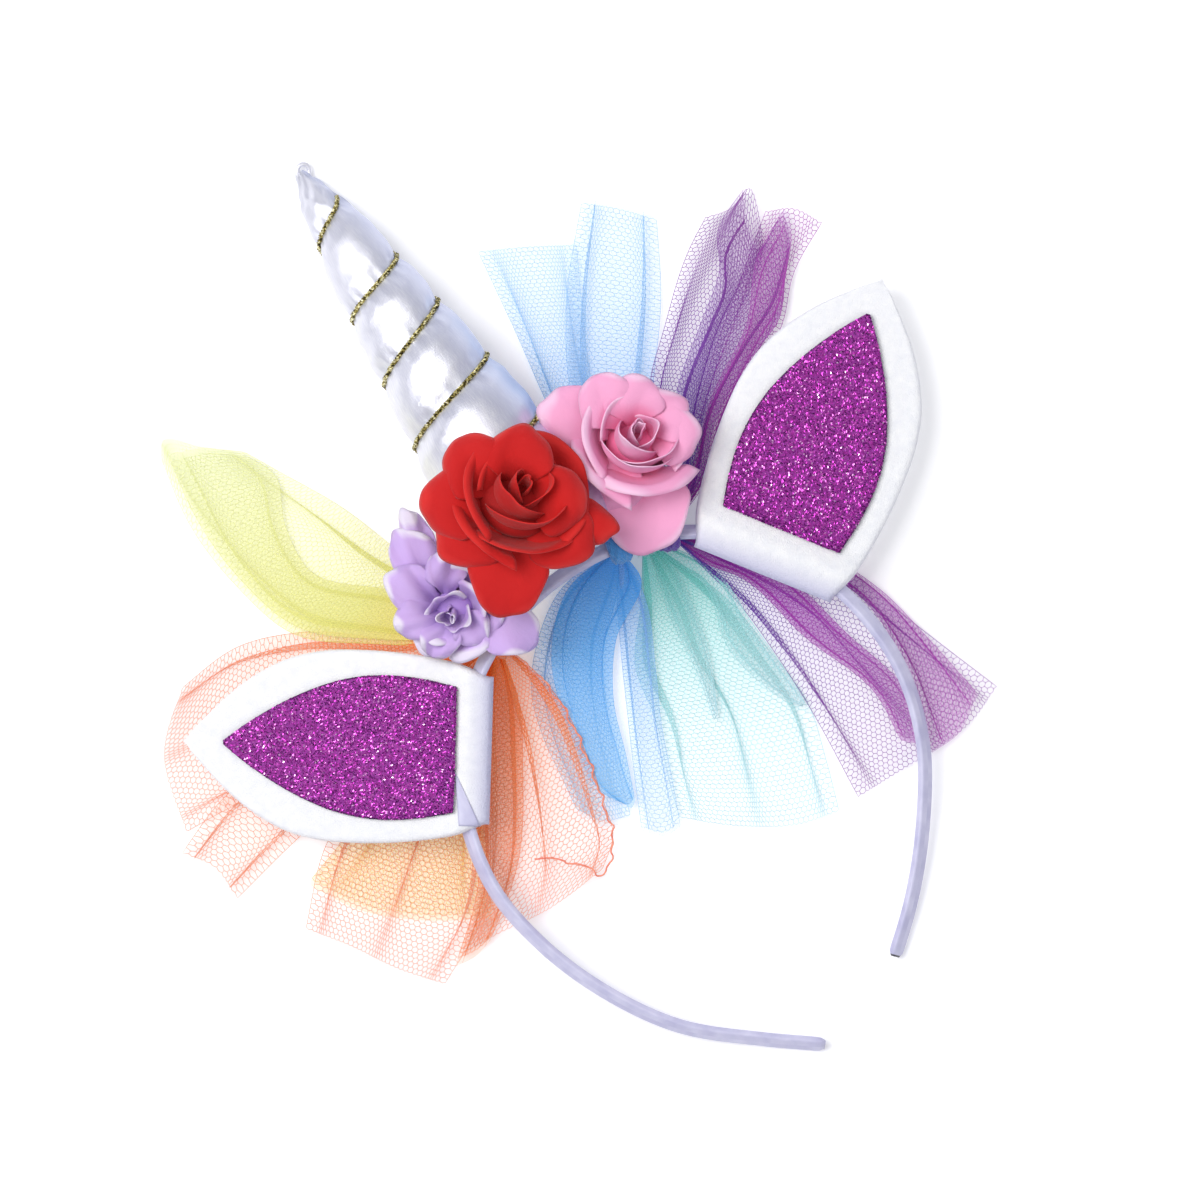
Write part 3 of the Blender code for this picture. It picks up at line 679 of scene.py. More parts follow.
def make_horn():
    """The horn's cloth: rings from its tip to its base."""
    distance = np.linspace(0, horn_length, HORN_RINGS)[:, None]
    angle = (np.arange(HORN_SIDES) / HORN_SIDES * 2 * math.pi - math.pi / 2)[None, :]
    lift, drawn = horn_lift(distance, angle)
    points = horn_place(distance, angle, lift)
    places = cloth_grid(HORN_RINGS, HORN_SIDES, horn_length, HORN_CLOTH_WIDE, True)
    # turned (the horn's side) and drawn (the groove under the cord) carry the painted shade of the lame's
    # colour
    return make_grid("horn_lame", points, places, True,
                     {"drawn": drawn, "turned": np.broadcast_to(np.cos(angle), lift.shape)})


def lame_colour(w):
    """Silver white with a fine grain, with painted shade: a cooler lilac-blue on the side away from the
    light, and a little in the grooves under the cord.
    """
    grain = w.noise(w.cloth_place(), 0.9, 4, (2.6, 0.35, 1)).within(0.3, 0.7)
    plain = grain.colours((0, "#e4e4ef"), (0.55, "#ededf5"), (1, "#f6f6fb"))
    painted_cool_shade = (w.value("turned").within(0.3, 0.95) * 0.6 + w.value("drawn") * 0.1)
    return painted_cool_shade.mixed(plain, (*tint("#c3cbea"), 1))


lame = new_finish(
    "silver_white_lame", 0.31, {"Metallic": 0.62, "Specular IOR Level": 0.6},
    Base_Color=lame_colour,
    Normal=lambda w: w.bump(w.noise(w.cloth_place(), 1.8, 4, (2.0, 0.6, 1))
                            + w.weave(w.cloth_place(), 1.6, 1.6) * 0.3, 0.00012, 0.8))
horn = dress(make_horn(), lame, "silver_cloth", "horn")
turn = np.linspace(0, 2 * math.pi, LOOP_STEPS + 1)[:, None]
side = np.linspace(0, 2 * math.pi, LOOP_SIDES, endpoint=False)[None, :]
out = LOOP_RADIUS + LOOP_THICK * np.cos(side) + LOOP_SQUASH * np.sin(2 * turn)
up = LOOP_THICK * np.sin(side) + LOOP_WARP * np.sin(turn)
points = np.stack([out * np.cos(turn), out * np.sin(turn), up], axis=-1) + LOOP_CENTRE
loop = make_grid("horn_tip_loop", points, cloth_grid(*points.shape[:2], *LOOP_CLOTH, True), True,
                 {key: np.zeros(points.shape[:2]) for key in ("drawn", "turned")})
dress(loop, lame, "silver_cloth")


# Gold cord: two thin gold strands twisted with an olive one, wound five turns from the
# tip to under the red rose and pulled tight into the cloth.
CORD_RADIUS = 0.72
STRAND_RADIUS = 0.37
STRANDS = 3
STRAND_SIDES = 7
CORD_TWIST_MM = 2.6
CORD_STEP = 0.45
CORD_SINK = 0.25
# turns from the tip where the cord starts and ends, and how many points it has
CORD_RUN = (0.02, 5, 640)


def twist_tree():
    """Sweep round strands along a path, turning about it."""
    tree, (path, strand, apart, twist, step, finish) = new_tree(
        "twisted_cord", Strand="Float", Apart="Float", Twist="Float", Step="Float", Finish="Material")
    curve = path.node("GeometryNodeMeshToCurve", None, {0: path})
    curve = path.node("GeometryNodeResampleCurve", {"mode": "LENGTH"}, {"Curve": curve, "Length": step})
    run = path.node("GeometryNodeSplineParameter", None, None, "Length")
    curve = path.node("GeometryNodeSetCurveTilt", None, {"Curve": curve, "Tilt": run * twist})
    ring = path.node("GeometryNodeCurvePrimitiveCircle", None, {"Resolution": STRAND_SIDES, "Radius": strand})
    rings = []
    for turn in [index * 2 * math.pi / STRANDS for index in range(STRANDS)]:
        aside = path.node("ShaderNodeCombineXYZ", None,
                          {0: apart * math.cos(turn), 1: apart * math.sin(turn)})
        rings.append(path.node("GeometryNodeTransform", None, {"Geometry": ring, "Translation": aside}))
    profile = path.node("GeometryNodeJoinGeometry", None, {0: rings})
    swept = path.node("GeometryNodeCurveToMesh", None,
                      {"Curve": curve, "Profile Curve": profile, "Fill Caps": True})
    end_tree(path.node("GeometryNodeSetShadeSmooth", None, {0: swept}), finish)
    return tree


def path_object(name, points):
    """A line of edges through points, for a tree to follow."""
    mesh = bpy.data.meshes.new(name)
    mesh.from_pydata(laid(points).tolist(), [(k, k + 1) for k in range(len(points) - 1)], [])
    return new_object(name, mesh)


# olive gold speckled at random from near-black to near-white: the threads' own uneven tone, with painted
# glints and painted dark gaps between the strands
gold = new_finish(
    "olive_gold_thread", 0.36, {"Metallic": 0.6},
    Base_Color=lambda w: w.noise(w.object_place(), 1300, 2).within(0.40, 0.60).colours(
        (0, "#2f290d"), (0.35, "#857732"), (0.7, "#c9ba66"), (1, "#fffbd2")),
    Normal=lambda w: w.bump(w.noise(w.object_place(), 5200, 2), 0.0001))
turns = np.linspace(*CORD_RUN)
angles = turns * 2 * math.pi
cord_lift = horn_lift(cord_distance(turns), angles)[0] + CORD_RADIUS - CORD_SINK
cord = path_object("gold_twist_cord", horn_place(cord_distance(turns), angles, cord_lift))
grow(cord, twist_tree(), Strand=STRAND_RADIUS * MM, Apart=(CORD_RADIUS - STRAND_RADIUS) * MM,
     Twist=2 * math.pi / (CORD_TWIST_MM * MM), Step=CORD_STEP * MM, Finish=gold)
dress(cord, gold, "gold_cord", "horn_cord")


# Net strips: soft tulle cut in strips, looped round the band under the roses and drawn
# through, so each spreads from its knot in crowded pleats and lies down on the floor.
# a leaf starts at a distance from its knot's middle, below it, and falls over another
NET_NECK = 3.0
NET_NECK_BELOW = 4.95
NET_DROP = 26.0
# steps in which the band is searched for a knot's place, and y from which it is the crown
KNOT_SEARCH = 1200
CROWN_FROM = 40
# x of each knot on the band's crown
KNOTS = {"orange": -23.0, "yellow": -15.0, "blue": 20.0, "teal": 26.8, "purple": 33.2}
# film at the knot, in the middle and at the cut edge, then thread at the knot and at the edge
DYES = {
    "pumpkin": ("#f25804", "#f88a36", "#fbb88a", "#ee6412", "#f08c50"),
    "coral": ("#f4701c", "#fab080", "#fce0d0", "#ee7c36", "#ea9678"),
    "amber": ("#f6ae1c", "#f9d86e", "#fbedae", "#f0b642", "#f0ca7c"),
    "lemon": ("#f4cc24", "#e9e888", "#eef2c2", "#e6dc68", "#e4e8a6"),
    "sky": ("#2f8ce0", "#5fb0ee", "#a9d6f6", "#449ce6", "#7dbef0"),
    "ice": ("#4f8fd8", "#9cc8f0", "#d4e9fa", "#6aa6e4", "#a4cdf0"),
    "mint": ("#3fbfae", "#a4dcdc", "#e2f4f8", "#6cc8c0", "#bfe2ea"),
    "plum": ("#4638a0", "#804cb8", "#ac5ec2", "#543aa6", "#8c3e9e"),
    "orchid": ("#86208f", "#a53aae", "#c071c4", "#94289c", "#ac48ae"),
}
# Leaves of net: knot and way, dye, height at the cut edge, pleats, fold depth at the knot and
# at the edge, mesh size, film cover at the knot and at the edge; then the left side, the right
# side, and the cut edge's points between their ends
LEAVES = {
    "orange_back": (("orange", ""), "coral", 0.9, 3, 2.4, 0.25, 1.4, 0.60, 0.08,
        [(-45, 81), (-66, 99), (-82, 106), (-104, 106)],
        [(-58, 63), (-91, 66), (-111, 71), (-127, 73)],
        [(-119, 95)]),
    "orange_flag": (("orange", ""), "coral", 1.7, 2, 2.2, 1.15, 1.4, 0.60, 0.18,
        [(-58, 73), (-87, 75), (-112, 74), (-131, 68)],
        [(-54, 60), (-81, 55), (-100, 53), (-126, 49)],
        [(-126, 60)]),
    "orange_amber": (("orange", ""), "amber", 0.7, 2, 2.2, 0.3, 1.5, 0.95, 0.30,
        [(-54, 58), (-80, 48), (-106, 41)],
        [(-44, 42), (-58, 22), (-70, 3)],
        [(-98, 26), (-86, 14)]),
    "orange_side": (("orange", ""), "coral", 1.5, 3, 2.3, 0.3, 1.4, 0.55, 0.06,
        [(-54, 60), (-78, 53), (-93, 48), (-115, 30)],
        [(-44, 39), (-57, 21), (-70, 6), (-93, -5)],
        [(-108, 19), (-101, 6)]),
    "orange_fold": (("orange", ""), "pumpkin", 2.2, 2, 2.2, 1.2, 1.4, 0.92, 0.30,
        [(-40, 52), (-54, 32), (-68, 12), (-86, -2)],
        [(-27, 50), (-38, 32), (-55, 11), (-74, -2)],
        [(-80, -3)]),
    "orange_wide": (("orange", ""), "coral", 3.4, 3, 2.4, 0.3, 1.4, 0.60, 0.04,
        [(-38, 50), (-52, 31), (-66, 14), (-83, -1)],
        [(-20, 55), (-18.6, 41.6), (-21.6, 23.6), (-25.9, 9.1), (-28, 2.8), (-37.7, -4.8)],
        [(-72, -2.4), (-57, -5.1)]),
    "yellow_wide": (("yellow", ""), "lemon", 1.3, 2, 2.2, 0.35, 1.2, 0.70, 0.20,
        [(-33, 72), (-52, 85), (-68, 100), (-73, 120), (-73.6, 141), (-69, 162)],
        [(-24, 80), (-31, 103), (-36, 120), (-44.7, 139.4), (-49.6, 150)],
        [(-66, 166), (-58, 158)]),
    "yellow_fold": (("yellow", ""), "lemon", 2.6, 2, 2.0, 1.1, 1.2, 0.80, 0.50,
        [(-32, 73), (-51, 86), (-66, 101), (-71, 121), (-71, 141), (-67, 161)],
        [(-27, 79), (-38, 93), (-54, 112), (-52, 126), (-46, 139), (-50, 149)],
        [(-58, 157)]),
    "blue_up_left": (("blue", "up"), "ice", 1.0, 2, 2.2, 0.35, 1.2, 0.85, 0.26,
        [(23, 84), (26, 104), (32, 132), (37, 158)],
        [(32, 84), (41, 108), (52, 128), (61, 143)],
        [(49, 151)]),
    "blue_up_right": (("blue", "up"), "ice", 2.2, 2, 2.2, 1.1, 1.2, 0.90, 0.28,
        [(27, 86), (35, 110), (50, 132), (69, 151)],
        [(38, 80), (56, 99), (70, 115), (83, 135)],
        [(76, 144)]),
    "purple_up_wide": (("purple", "up"), "plum", 2.4, 2, 1.8, 0.25, 1.35, 0.24, 0.0,
        [(43, 76), (53, 97), (66, 108), (85, 122), (95, 127)],
        [(47, 70), (63, 84), (80, 97), (94, 104), (103, 111)],
        [(103, 125), (110, 127), (107, 118)]),
    "purple_up_fold": (("purple", "up"), "plum", 3.4, 2, 2.0, 1.15, 1.15, 0.50, 0.20,
        [(44, 74), (59, 92), (78, 105), (88, 112), (94, 121), (108, 127)],
        [(47, 66), (63, 79), (83, 88), (93, 91), (103, 101)],
        [(102, 117), (101, 111), (113, 115), (110, 108)]),
    "purple_up_edge": (("purple", "up"), "orchid", 4.2, 2, 2.0, 1.15, 1.15, 0.40, 0.26,
        [(47, 70), (66, 85), (86, 96), (99, 109), (112, 115)],
        [(49, 66), (65, 78), (84, 88), (93, 91), (103, 101)],
        [(110, 108)]),
    "purple_up_faint": (("purple", "up"), "orchid", 1.8, 2, 1.6, 0.3, 1.35, 0.10, 0.0,
        [(50, 76), (70, 92), (92, 107), (110, 119)],
        [(52, 68), (70, 80), (94, 90), (104, 99), (121, 107)],
        [(117, 115)]),
    "blue_down_left": (("blue", "down"), "ice", 1.3, 2, 1.8, 0.4, 1.3, 0.62, 0.22,
        [(0, 66), (-14, 58), (-24, 47), (-28.5, 35), (-31, 22), (-33, 12)],
        [(14, 58), (0, 46), (-10, 30), (-17, 15), (-22, 2)],
        [(-29, 5)]),
    "blue_down_deep": (("blue", "down"), "sky", 3.4, 2, 1.5, 0.6, 1.2, 0.94, 0.56,
        [(2, 65), (-12.8, 53), (-21.7, 30), (-24.3, 14), (-21, 7)],
        [(20, 56), (4, 45.5), (-6, 33), (-13, 17), (-18, 6)],
        [(-20, 5)]),
    "blue_down_pale": (("blue", "down"), "ice", 2.6, 2, 2.0, 1.1, 1.2, 0.70, 0.30,
        [(12, 56), (3, 41.6), (-6, 26), (-15, 10), (-21.5, -2)],
        [(18, 52), (8, 32), (1, 20), (-6, 5), (-12, -7.3)],
        [(-17, -7)]),
    "teal_down_wide": (("teal", "down"), "mint", 1.0, 3, 2.4, 0.3, 1.3, 0.85, 0.04,
        [(16, 50), (4, 36), (0, 21), (-7, 5), (-11, -6)],
        [(32, 50), (36, 36), (37, 19), (37, -1), (32, -16), (26, -31)],
        [(1, -18), (14, -27)]),
    "teal_down_tuck": (("teal", "down"), "mint", 2.2, 2, 2.4, 1.4, 1.3, 0.60, 0.22,
        [(25, 56), (20.7, 43.8), (16.5, 22.6), (12.8, 10.1)],
        [(29, 54), (27.4, 42.4), (23.2, 28.1), (15.1, 12.2)],
        [(14, 10.5)]),
    "teal_down_side": (("teal", "down"), "mint", 2.4, 2, 2.4, 1.4, 1.3, 0.60, 0.22,
        [(29, 54), (32.9, 45.3), (28.2, 24.5), (30.7, 8.9), (35.7, -1.4)],
        [(34, 54), (38, 44.3), (37.7, 28), (37.4, 10.9), (36.6, -1)],
        [(36.1, -1.6)]),
    "purple_down_wide": (("purple", "down"), "plum", 1.4, 3, 2.0, 0.25, 1.35, 0.15, 0.0,
        [(36, 46), (38, 32), (38, 18), (37, 0), (33, -31)],
        [(46, 48), (60, 34), (68, 23), (73, 5), (77, -9), (83, -29)],
        [(46, -32), (57, -33), (70, -33)]),
    "purple_down_fold": (("purple", "down"), "orchid", 2.4, 2, 2.0, 1.2, 1.15, 0.80, 0.50,
        [(37, 48), (42.2, 39.9), (47.4, 14.7), (54, -9.7), (52, -24)],
        [(44, 48), (52.8, 32.2), (57.3, 9.3), (61.3, -14.8), (58.4, -26.8)],
        [(55, -27)]),
    "purple_down_far": (("purple", "down"), "orchid", 3.0, 2, 1.9, 1.1, 1.15, 0.60, 0.36,
        [(42, 50), (57, 33), (66, 17), (66, -5), (57, -32)],
        [(45, 51), (62, 36), (72, 14), (75, -6), (77, -26)],
        [(66, -32)]),
}
LEAF_ROWS = 48
LEAF_COLUMNS = 96
# powers by which rows crowd towards the knot, the cut edge's shape fades in from it, and the
# folds and the film's cover fade towards the edge
ROWS_POWER = 1.15
CUT_POWER = 3
FOLD_POWER = 0.8
COVER_POWER = 1.5
# pleats are uneven: waves along the cut as shares of its width
UNEVEN = [(0.06, 1, 0, 0), (0.03, 2, 0, 0)]
# height of a pleat: at the edge, added at the knot, and a wave along and across the leaf
PLEAT_HIGH = 0.12
PLEAT_HIGH_KNOT = 0.30
PLEAT_WAVE = [(0.10, 7, 5, 0)]
LEAF_LOWEST = 0.25
THREAD_THICK = {"coarse": 0.20, "fine": 0.15}
FINE_MESH = 1.25
# light that comes through the net from the white floor
LIT_THROUGH = 0.10
# gaps in the film of crowded threads: their share of it, and how many across and along
FILM_GAPS = 0.25
FILM_PITCH = (47, 61)


def knot_place(colour):
    """Where a knot sits on the band's crown, with the direction along the band."""
    middle, outward = band_course(KNOT_SEARCH)
    crown = middle[:, 1] > CROWN_FROM
    place = np.argmin(np.where(crown, np.abs(middle[:, 0] - KNOTS[colour]), FAR))
    return middle[place], outward[place]


def leaf_points(colour, lie, pleats, folding, left, right, cut):
    """Points of one leaf: rows from its neck to its cut edge, columns from left to right."""
    knot = knot_place(colour)[0]
    along = np.linspace(0, 1, LEAF_ROWS) ** ROWS_POWER
    sides = []
    for side in (left, right):
        toward = np.subtract(side[0], knot[:2])
        neck = knot[:2] + toward / np.linalg.norm(toward) * NET_NECK
        sides.append(curve_through([neck, *side], along))
    across = np.linspace(0, 1, LEAF_COLUMNS)
    uneven = across + ripple(UNEVEN, 2 * math.pi * across, 0)
    theta = 2 * math.pi * pleats * uneven[None, :]
    depth = (folding[1] + (folding[0] - folding[1]) * (1 - along) ** FOLD_POWER)[:, None]
    moved = np.clip(across + depth * np.sin(theta) / (2 * math.pi * pleats), 0, 1)
    flat = sides[0][:, None] * (1 - moved[..., None]) + sides[1][:, None] * moved[..., None]
    edge = curve_through([left[-1], *cut, right[-1]], moved[-1])
    straight = left[-1] * (1 - moved[-1][:, None]) + np.multiply(right[-1], moved[-1][:, None])
    flat = flat + (edge - straight)[None] * (along ** CUT_POWER)[:, None, None]
    out = np.linalg.norm(flat - knot[:2], axis=-1)
    fall = np.clip(1 - (out - NET_NECK) / NET_DROP, 0, 1) ** 2
    crest = PLEAT_HIGH + PLEAT_HIGH_KNOT * fall + ripple(PLEAT_WAVE, along[:, None], across)
    neck_height = knot[2] - NET_NECK_BELOW
    height = lie + (neck_height - lie) * fall - crest * np.sin(theta)
    return np.concatenate([flat, np.maximum(height, LEAF_LOWEST)[..., None]], axis=-1)


def net_lattice(name, width, length, cell):
    """Flat threads of net: zigzags across, tied by short bars, and a thread at each side."""
    columns = int(round(width / cell)) * 2 + 1
    side = cell / math.sqrt(3)
    rows = int(length / (1.5 * side))
    i, j = np.meshgrid(np.arange(columns), np.arange(rows))
    high = (i + j) % 2
    u = i / (columns - 1)
    v = np.clip((j * 1.5 + 0.5 * high) * side / length, 0, 1)
    index = j * columns + i
    zigzags = np.stack([index[:, :-1], index[:, 1:]], axis=-1).reshape(-1, 2)
    tied = high[:-1] == 1
    bars = np.stack([index[:-1][tied], index[1:][tied]], axis=-1)
    sides = [np.stack([index[:-1, k], index[1:, k]], axis=-1) for k in (0, -1)]
    mesh = bpy.data.meshes.new(name)
    points = np.stack([u, v, 0 * u], axis=-1).reshape(-1, 3)
    edges = {tuple(pair) for pair in np.concatenate([zigzags, bars, *sides]).tolist()}
    mesh.from_pydata(points.tolist(), sorted(edges), [])
    return new_object(name, mesh)


def thread_tree():
    """Carry a flat lattice onto a sheet by its cloth places, and give its threads thickness."""
    tree, (lattice, sheet, thick, finish) = new_tree(
        "net_threads", Sheet="Object", Thick="Float", Finish="Material")
    film = lattice.node("GeometryNodeObjectInfo", {"transform_space": "RELATIVE"}, {"Object": sheet},
                        "Geometry")
    cloth = lattice.node("GeometryNodeInputNamedAttribute", {"data_type": "FLOAT_VECTOR"},
                         {"Name": "cloth"})
    place = lattice.node("GeometryNodeInputPosition")
    found = lattice.node("GeometryNodeSampleUVSurface", {"data_type": "FLOAT_VECTOR"},
                         {"Mesh": film, "Value": place, "Source UV Map": cloth, "Sample UV": place}, "Value")
    kept = lattice.node("GeometryNodeStoreNamedAttribute", {"data_type": "FLOAT", "domain": "POINT"},
                        {"Geometry": lattice, "Name": "run", "Value": place.part(1)})
    moved = lattice.node("GeometryNodeSetPosition", None, {"Geometry": kept, "Position": found})
    curve = lattice.node("GeometryNodeMeshToCurve", None, {0: moved})
    ring = lattice.node("GeometryNodeCurvePrimitiveCircle", None, {"Resolution": 3, "Radius": thick})
    swept = lattice.node("GeometryNodeCurveToMesh", None, {"Curve": curve, "Profile Curve": ring})
    end_tree(lattice.node("GeometryNodeSetShadeSmooth", None, {0: swept}), finish)
    return tree


def net_finishes(dye):
    """The film of crowded threads behind a net, and the threads themselves."""
    deep, middle, pale, thread, thread_end = DYES[dye]

    def film_colour(w):
        return w.value("run").colours((0, deep), (0.45, middle), (1, pale))

    def thread_colour(w):
        return w.value("run").colours((0, thread), (1, thread_end))

    film = new_finish(
        f"{dye}_net_film", 0.8, {"Specular IOR Level": 0.2, "Emission Strength": LIT_THROUGH},
        Base_Color=film_colour, Emission_Color=film_colour,
        Alpha=lambda w: w.value("cover") * (
            1 - FILM_GAPS + FILM_GAPS * w.weave(w.cloth_place(), *FILM_PITCH)))
    threads = new_finish(
        f"{dye}_net_thread", 0.5, {"Specular IOR Level": 0.4, "Emission Strength": LIT_THROUGH},
        Base_Color=thread_colour, Emission_Color=thread_colour)
    return film, threads


finishes = {dye: net_finishes(dye) for dye in DYES}
weaver = thread_tree()
for name, leaf in LEAVES.items():
    (colour, way), dye, lie, pleats, fold, fold_end, cell, cover, cover_end, left, right, cut = leaf
    points = leaf_points(colour, lie, pleats, (fold, fold_end), left, right, cut)
    run = np.broadcast_to(np.linspace(0, 1, LEAF_ROWS)[:, None], points.shape[:2])
    marks = {"run": run, "cover": cover_end + (cover - cover_end) * (1 - run) ** COVER_POWER}
    film = make_grid(f"net_{name}", points, cloth_grid(LEAF_ROWS, LEAF_COLUMNS, 1, 1), marks=marks)
    length = float(np.linalg.norm(np.diff(points[:, LEAF_COLUMNS // 2], axis=0), axis=1).sum())
    width = float(np.linalg.norm(np.diff(points, axis=1), axis=2).sum(axis=1).max())
    lattice = net_lattice(f"net_{name}_threads", width, length, cell)
    thick = THREAD_THICK["fine" if cell < FINE_MESH else "coarse"]
    film_finish, thread_finish = finishes[dye]
    grow(lattice, weaver, Sheet=film, Thick=thick / 2 * MM, Finish=thread_finish)
    dress(film, film_finish, f"net_{colour}", f"tulle_{colour}_{way}" if way else f"tulle_{colour}")
    dress(lattice, thread_finish, f"net_{colour}")
    area = sum(face.area for face in film.data.polygons)
    wide = max(width * MM, area / (length * MM))


# Rolled edge: the cut side of the wide orange leaf has curled up on itself into a thin
# crinkled cord, which runs down the leaf and hooks back over its foot.
ROLLED_LINE = [(-21.5, 59, 10), (-20.2, 55, 8.2), (-18.8, 41.6, 5.2), (-21.8, 23.6, 4.2), (-26.1, 9.1, 4.0),
               (-28.2, 2.8, 3.8), (-31.5, -1.6, 3.8), (-37.9, -5.2, 3.8), (-39.5, -2.0, 3.9),
               (-43.0, 3.0, 4.0), (-50.0, 9.7, 4.0)]
ROLLED_POINTS = 420
ROLLED_STRAND = 0.17
ROLLED_APART = 0.12
ROLLED_TWIST_MM = 5
ROLLED_STEP = 0.7
# crinkles along the whole length, their shares across, along and up, and the points they lag
CRINKLES = [(0.45, 62, 0, 0), (0.3, 131, 0, 1)]
CRINKLE_SHARES = (1, 0.6, 0.3)
CRINKLE_LAG = 9

shares = np.linspace(0, 1, ROLLED_POINTS)
crinkle = ripple(CRINKLES, shares, 0)
crinkles = np.column_stack([crinkle, np.roll(crinkle, CRINKLE_LAG), crinkle]) * CRINKLE_SHARES
rolled = new_finish(
    "rolled_net_edge", 0.6, {"Emission Strength": LIT_THROUGH},
    Base_Color=lambda w: w.noise(w.object_place(), 500, 2).within(0.35, 0.65).colours(
        (0, "#e8643c"), (1, "#f5906a")))
edge = path_object("net_orange_rolled_edge", curve_through(ROLLED_LINE, shares) + crinkles)
grow(edge, twist_tree(), Strand=ROLLED_STRAND * MM, Apart=ROLLED_APART * MM,
     Twist=2 * math.pi / (ROLLED_TWIST_MM * MM), Step=ROLLED_STEP * MM, Finish=rolled)
dress(edge, rolled, "net_orange")


# Knots: each strip of net is looped once round the band and pulled tight, so that it bunches
# into a short ridged sleeve that holds the leaves.
KNOT_INNER = 3.05
KNOT_LONG = 6.4
# place along the sleeve from -1 to 1, radius
KNOT_PROFILE = [(-1.0, 3.4), (-0.92, 4.0), (-0.6, 4.8), (0, 5.0), (0.6, 4.8), (0.92, 4.0), (1.0, 3.4)]
KNOT_DYES = {"orange": "pumpkin", "yellow": "lemon", "blue": "sky", "teal": "mint", "purple": "plum"}
KNOT_SIDES = 90
KNOT_STEPS = 22
KNOT_INNER_STEPS = 8
KNOT_RIDGES = [(0.26, 5, 9, 0), (0.16, 11, -14, 1)]
KNOT_CLOTH = (30, 20)
KNOT_PITCH = (0.8, 1.1)

for colour in KNOTS:
    centre, outward = knot_place(colour)
    along = np.array((outward[1], -outward[0], 0))
    turn = np.linspace(0, 2 * math.pi, KNOT_SIDES, endpoint=False)[:, None]
    share = np.concatenate([np.linspace(-1, 1, KNOT_STEPS), np.linspace(1, -1, KNOT_INNER_STEPS)])[None, :]
    outer = smooth(KNOT_PROFILE, share)[..., 0] + ripple(KNOT_RIDGES, turn, share)
    radius = np.where(np.arange(share.size) < KNOT_STEPS, outer, KNOT_INNER)
    spoke = outward * np.cos(turn)[..., None] + np.array((0, 0, 1)) * np.sin(turn)[..., None]
    points = centre + along * (share * KNOT_LONG / 2)[..., None] + spoke * radius[..., None]
    rows = np.concatenate([points, points[:1]])
    knot = make_grid(f"net_knot_{colour}", rows, cloth_grid(*rows.shape[:2], *KNOT_CLOTH, True), True)
    deep, middle = DYES[KNOT_DYES[colour]][:2]
    wrapped = new_finish(
        f"{colour}_net_knot", 0.7, {"Sheen Weight": 0.4},
        Base_Color=lambda w: w.weave(w.cloth_place(), *KNOT_PITCH).colours((0, deep), (1, middle)),
        Normal=lambda w: w.bump(w.weave(w.cloth_place(), *KNOT_PITCH), 0.0002))
    dress(knot, wrapped, f"net_{colour}", f"knot_{colour}")


# Roses: petals of starched cloth, heat-curled at the lip, stitched round a bud. The bud leans
# over, with its petals wrapped round it like cups; the outer petals open flat below it.

# place, height of the base, lean direction and lean (degrees), heart radius and height,
# crumple, slot
ROSES = {
    "rose_red": ((1.6, 91.6), 35.6, 22, 32, 12.4, 15.0, 1.5, "red_petals"),
    "rose_pink": ((37.8, 85.4), 20.6, 30, 27, 8.6, 12.5, 1.8, "pink_petals"),
    "rose_lilac": ((-26.8, 79.2), 19.6, 215, 14, 6.4, 8.0, 3.8, "lilac_petals"),
}
# centre the outer petals turn about
ROSE_CENTRES = {"rose_red": (3.4, 92.7), "rose_pink": (41.0, 88.0), "rose_lilac": (-27.4, 80.5)}
# outer petals: turn (degrees), reach, half angle (degrees), height at root, middle and lip
PETALS = {
    "rose_red": [
        (309, 29, 22, 3, 5.5, 4.5), (290, 25, 42, 4, 8, 7), (230, 31, 36, 4, 7, 4.5),
        (180, 24, 44, 4, 9, 6), (144, 25, 42, 5, 11, 8), (100, 23, 44, 5, 12, 9),
        (46, 21, 46, 5, 12, 10), (328, 20, 52, 5, 11, 9),
    ],
    "rose_pink": [
        (126, 27, 34, 4, 9, 8), (212, 22, 38, 4, 7, 5), (242, 32, 42, 3, 4.5, 3.4),
        (329, 18, 50, 5, 10, 10), (54, 17, 52, 5, 11, 11), (92, 20, 44, 5, 11, 11),
        (0, 17, 48, 5, 10, 10),
    ],
    "rose_lilac": [
        (80, 29, 15, 1, 3, 2.6), (90, 25, 26, 1, 4.5, 4), (303, 26, 32, 2, 5.5, 5),
        (120, 19, 34, 3, 8, 7), (166, 16, 38, 3, 8, 7), (218, 15, 40, 3, 7, 6),
        (278, 14, 40, 3, 7, 6), (60, 15, 40, 3, 8, 8),
    ],
}
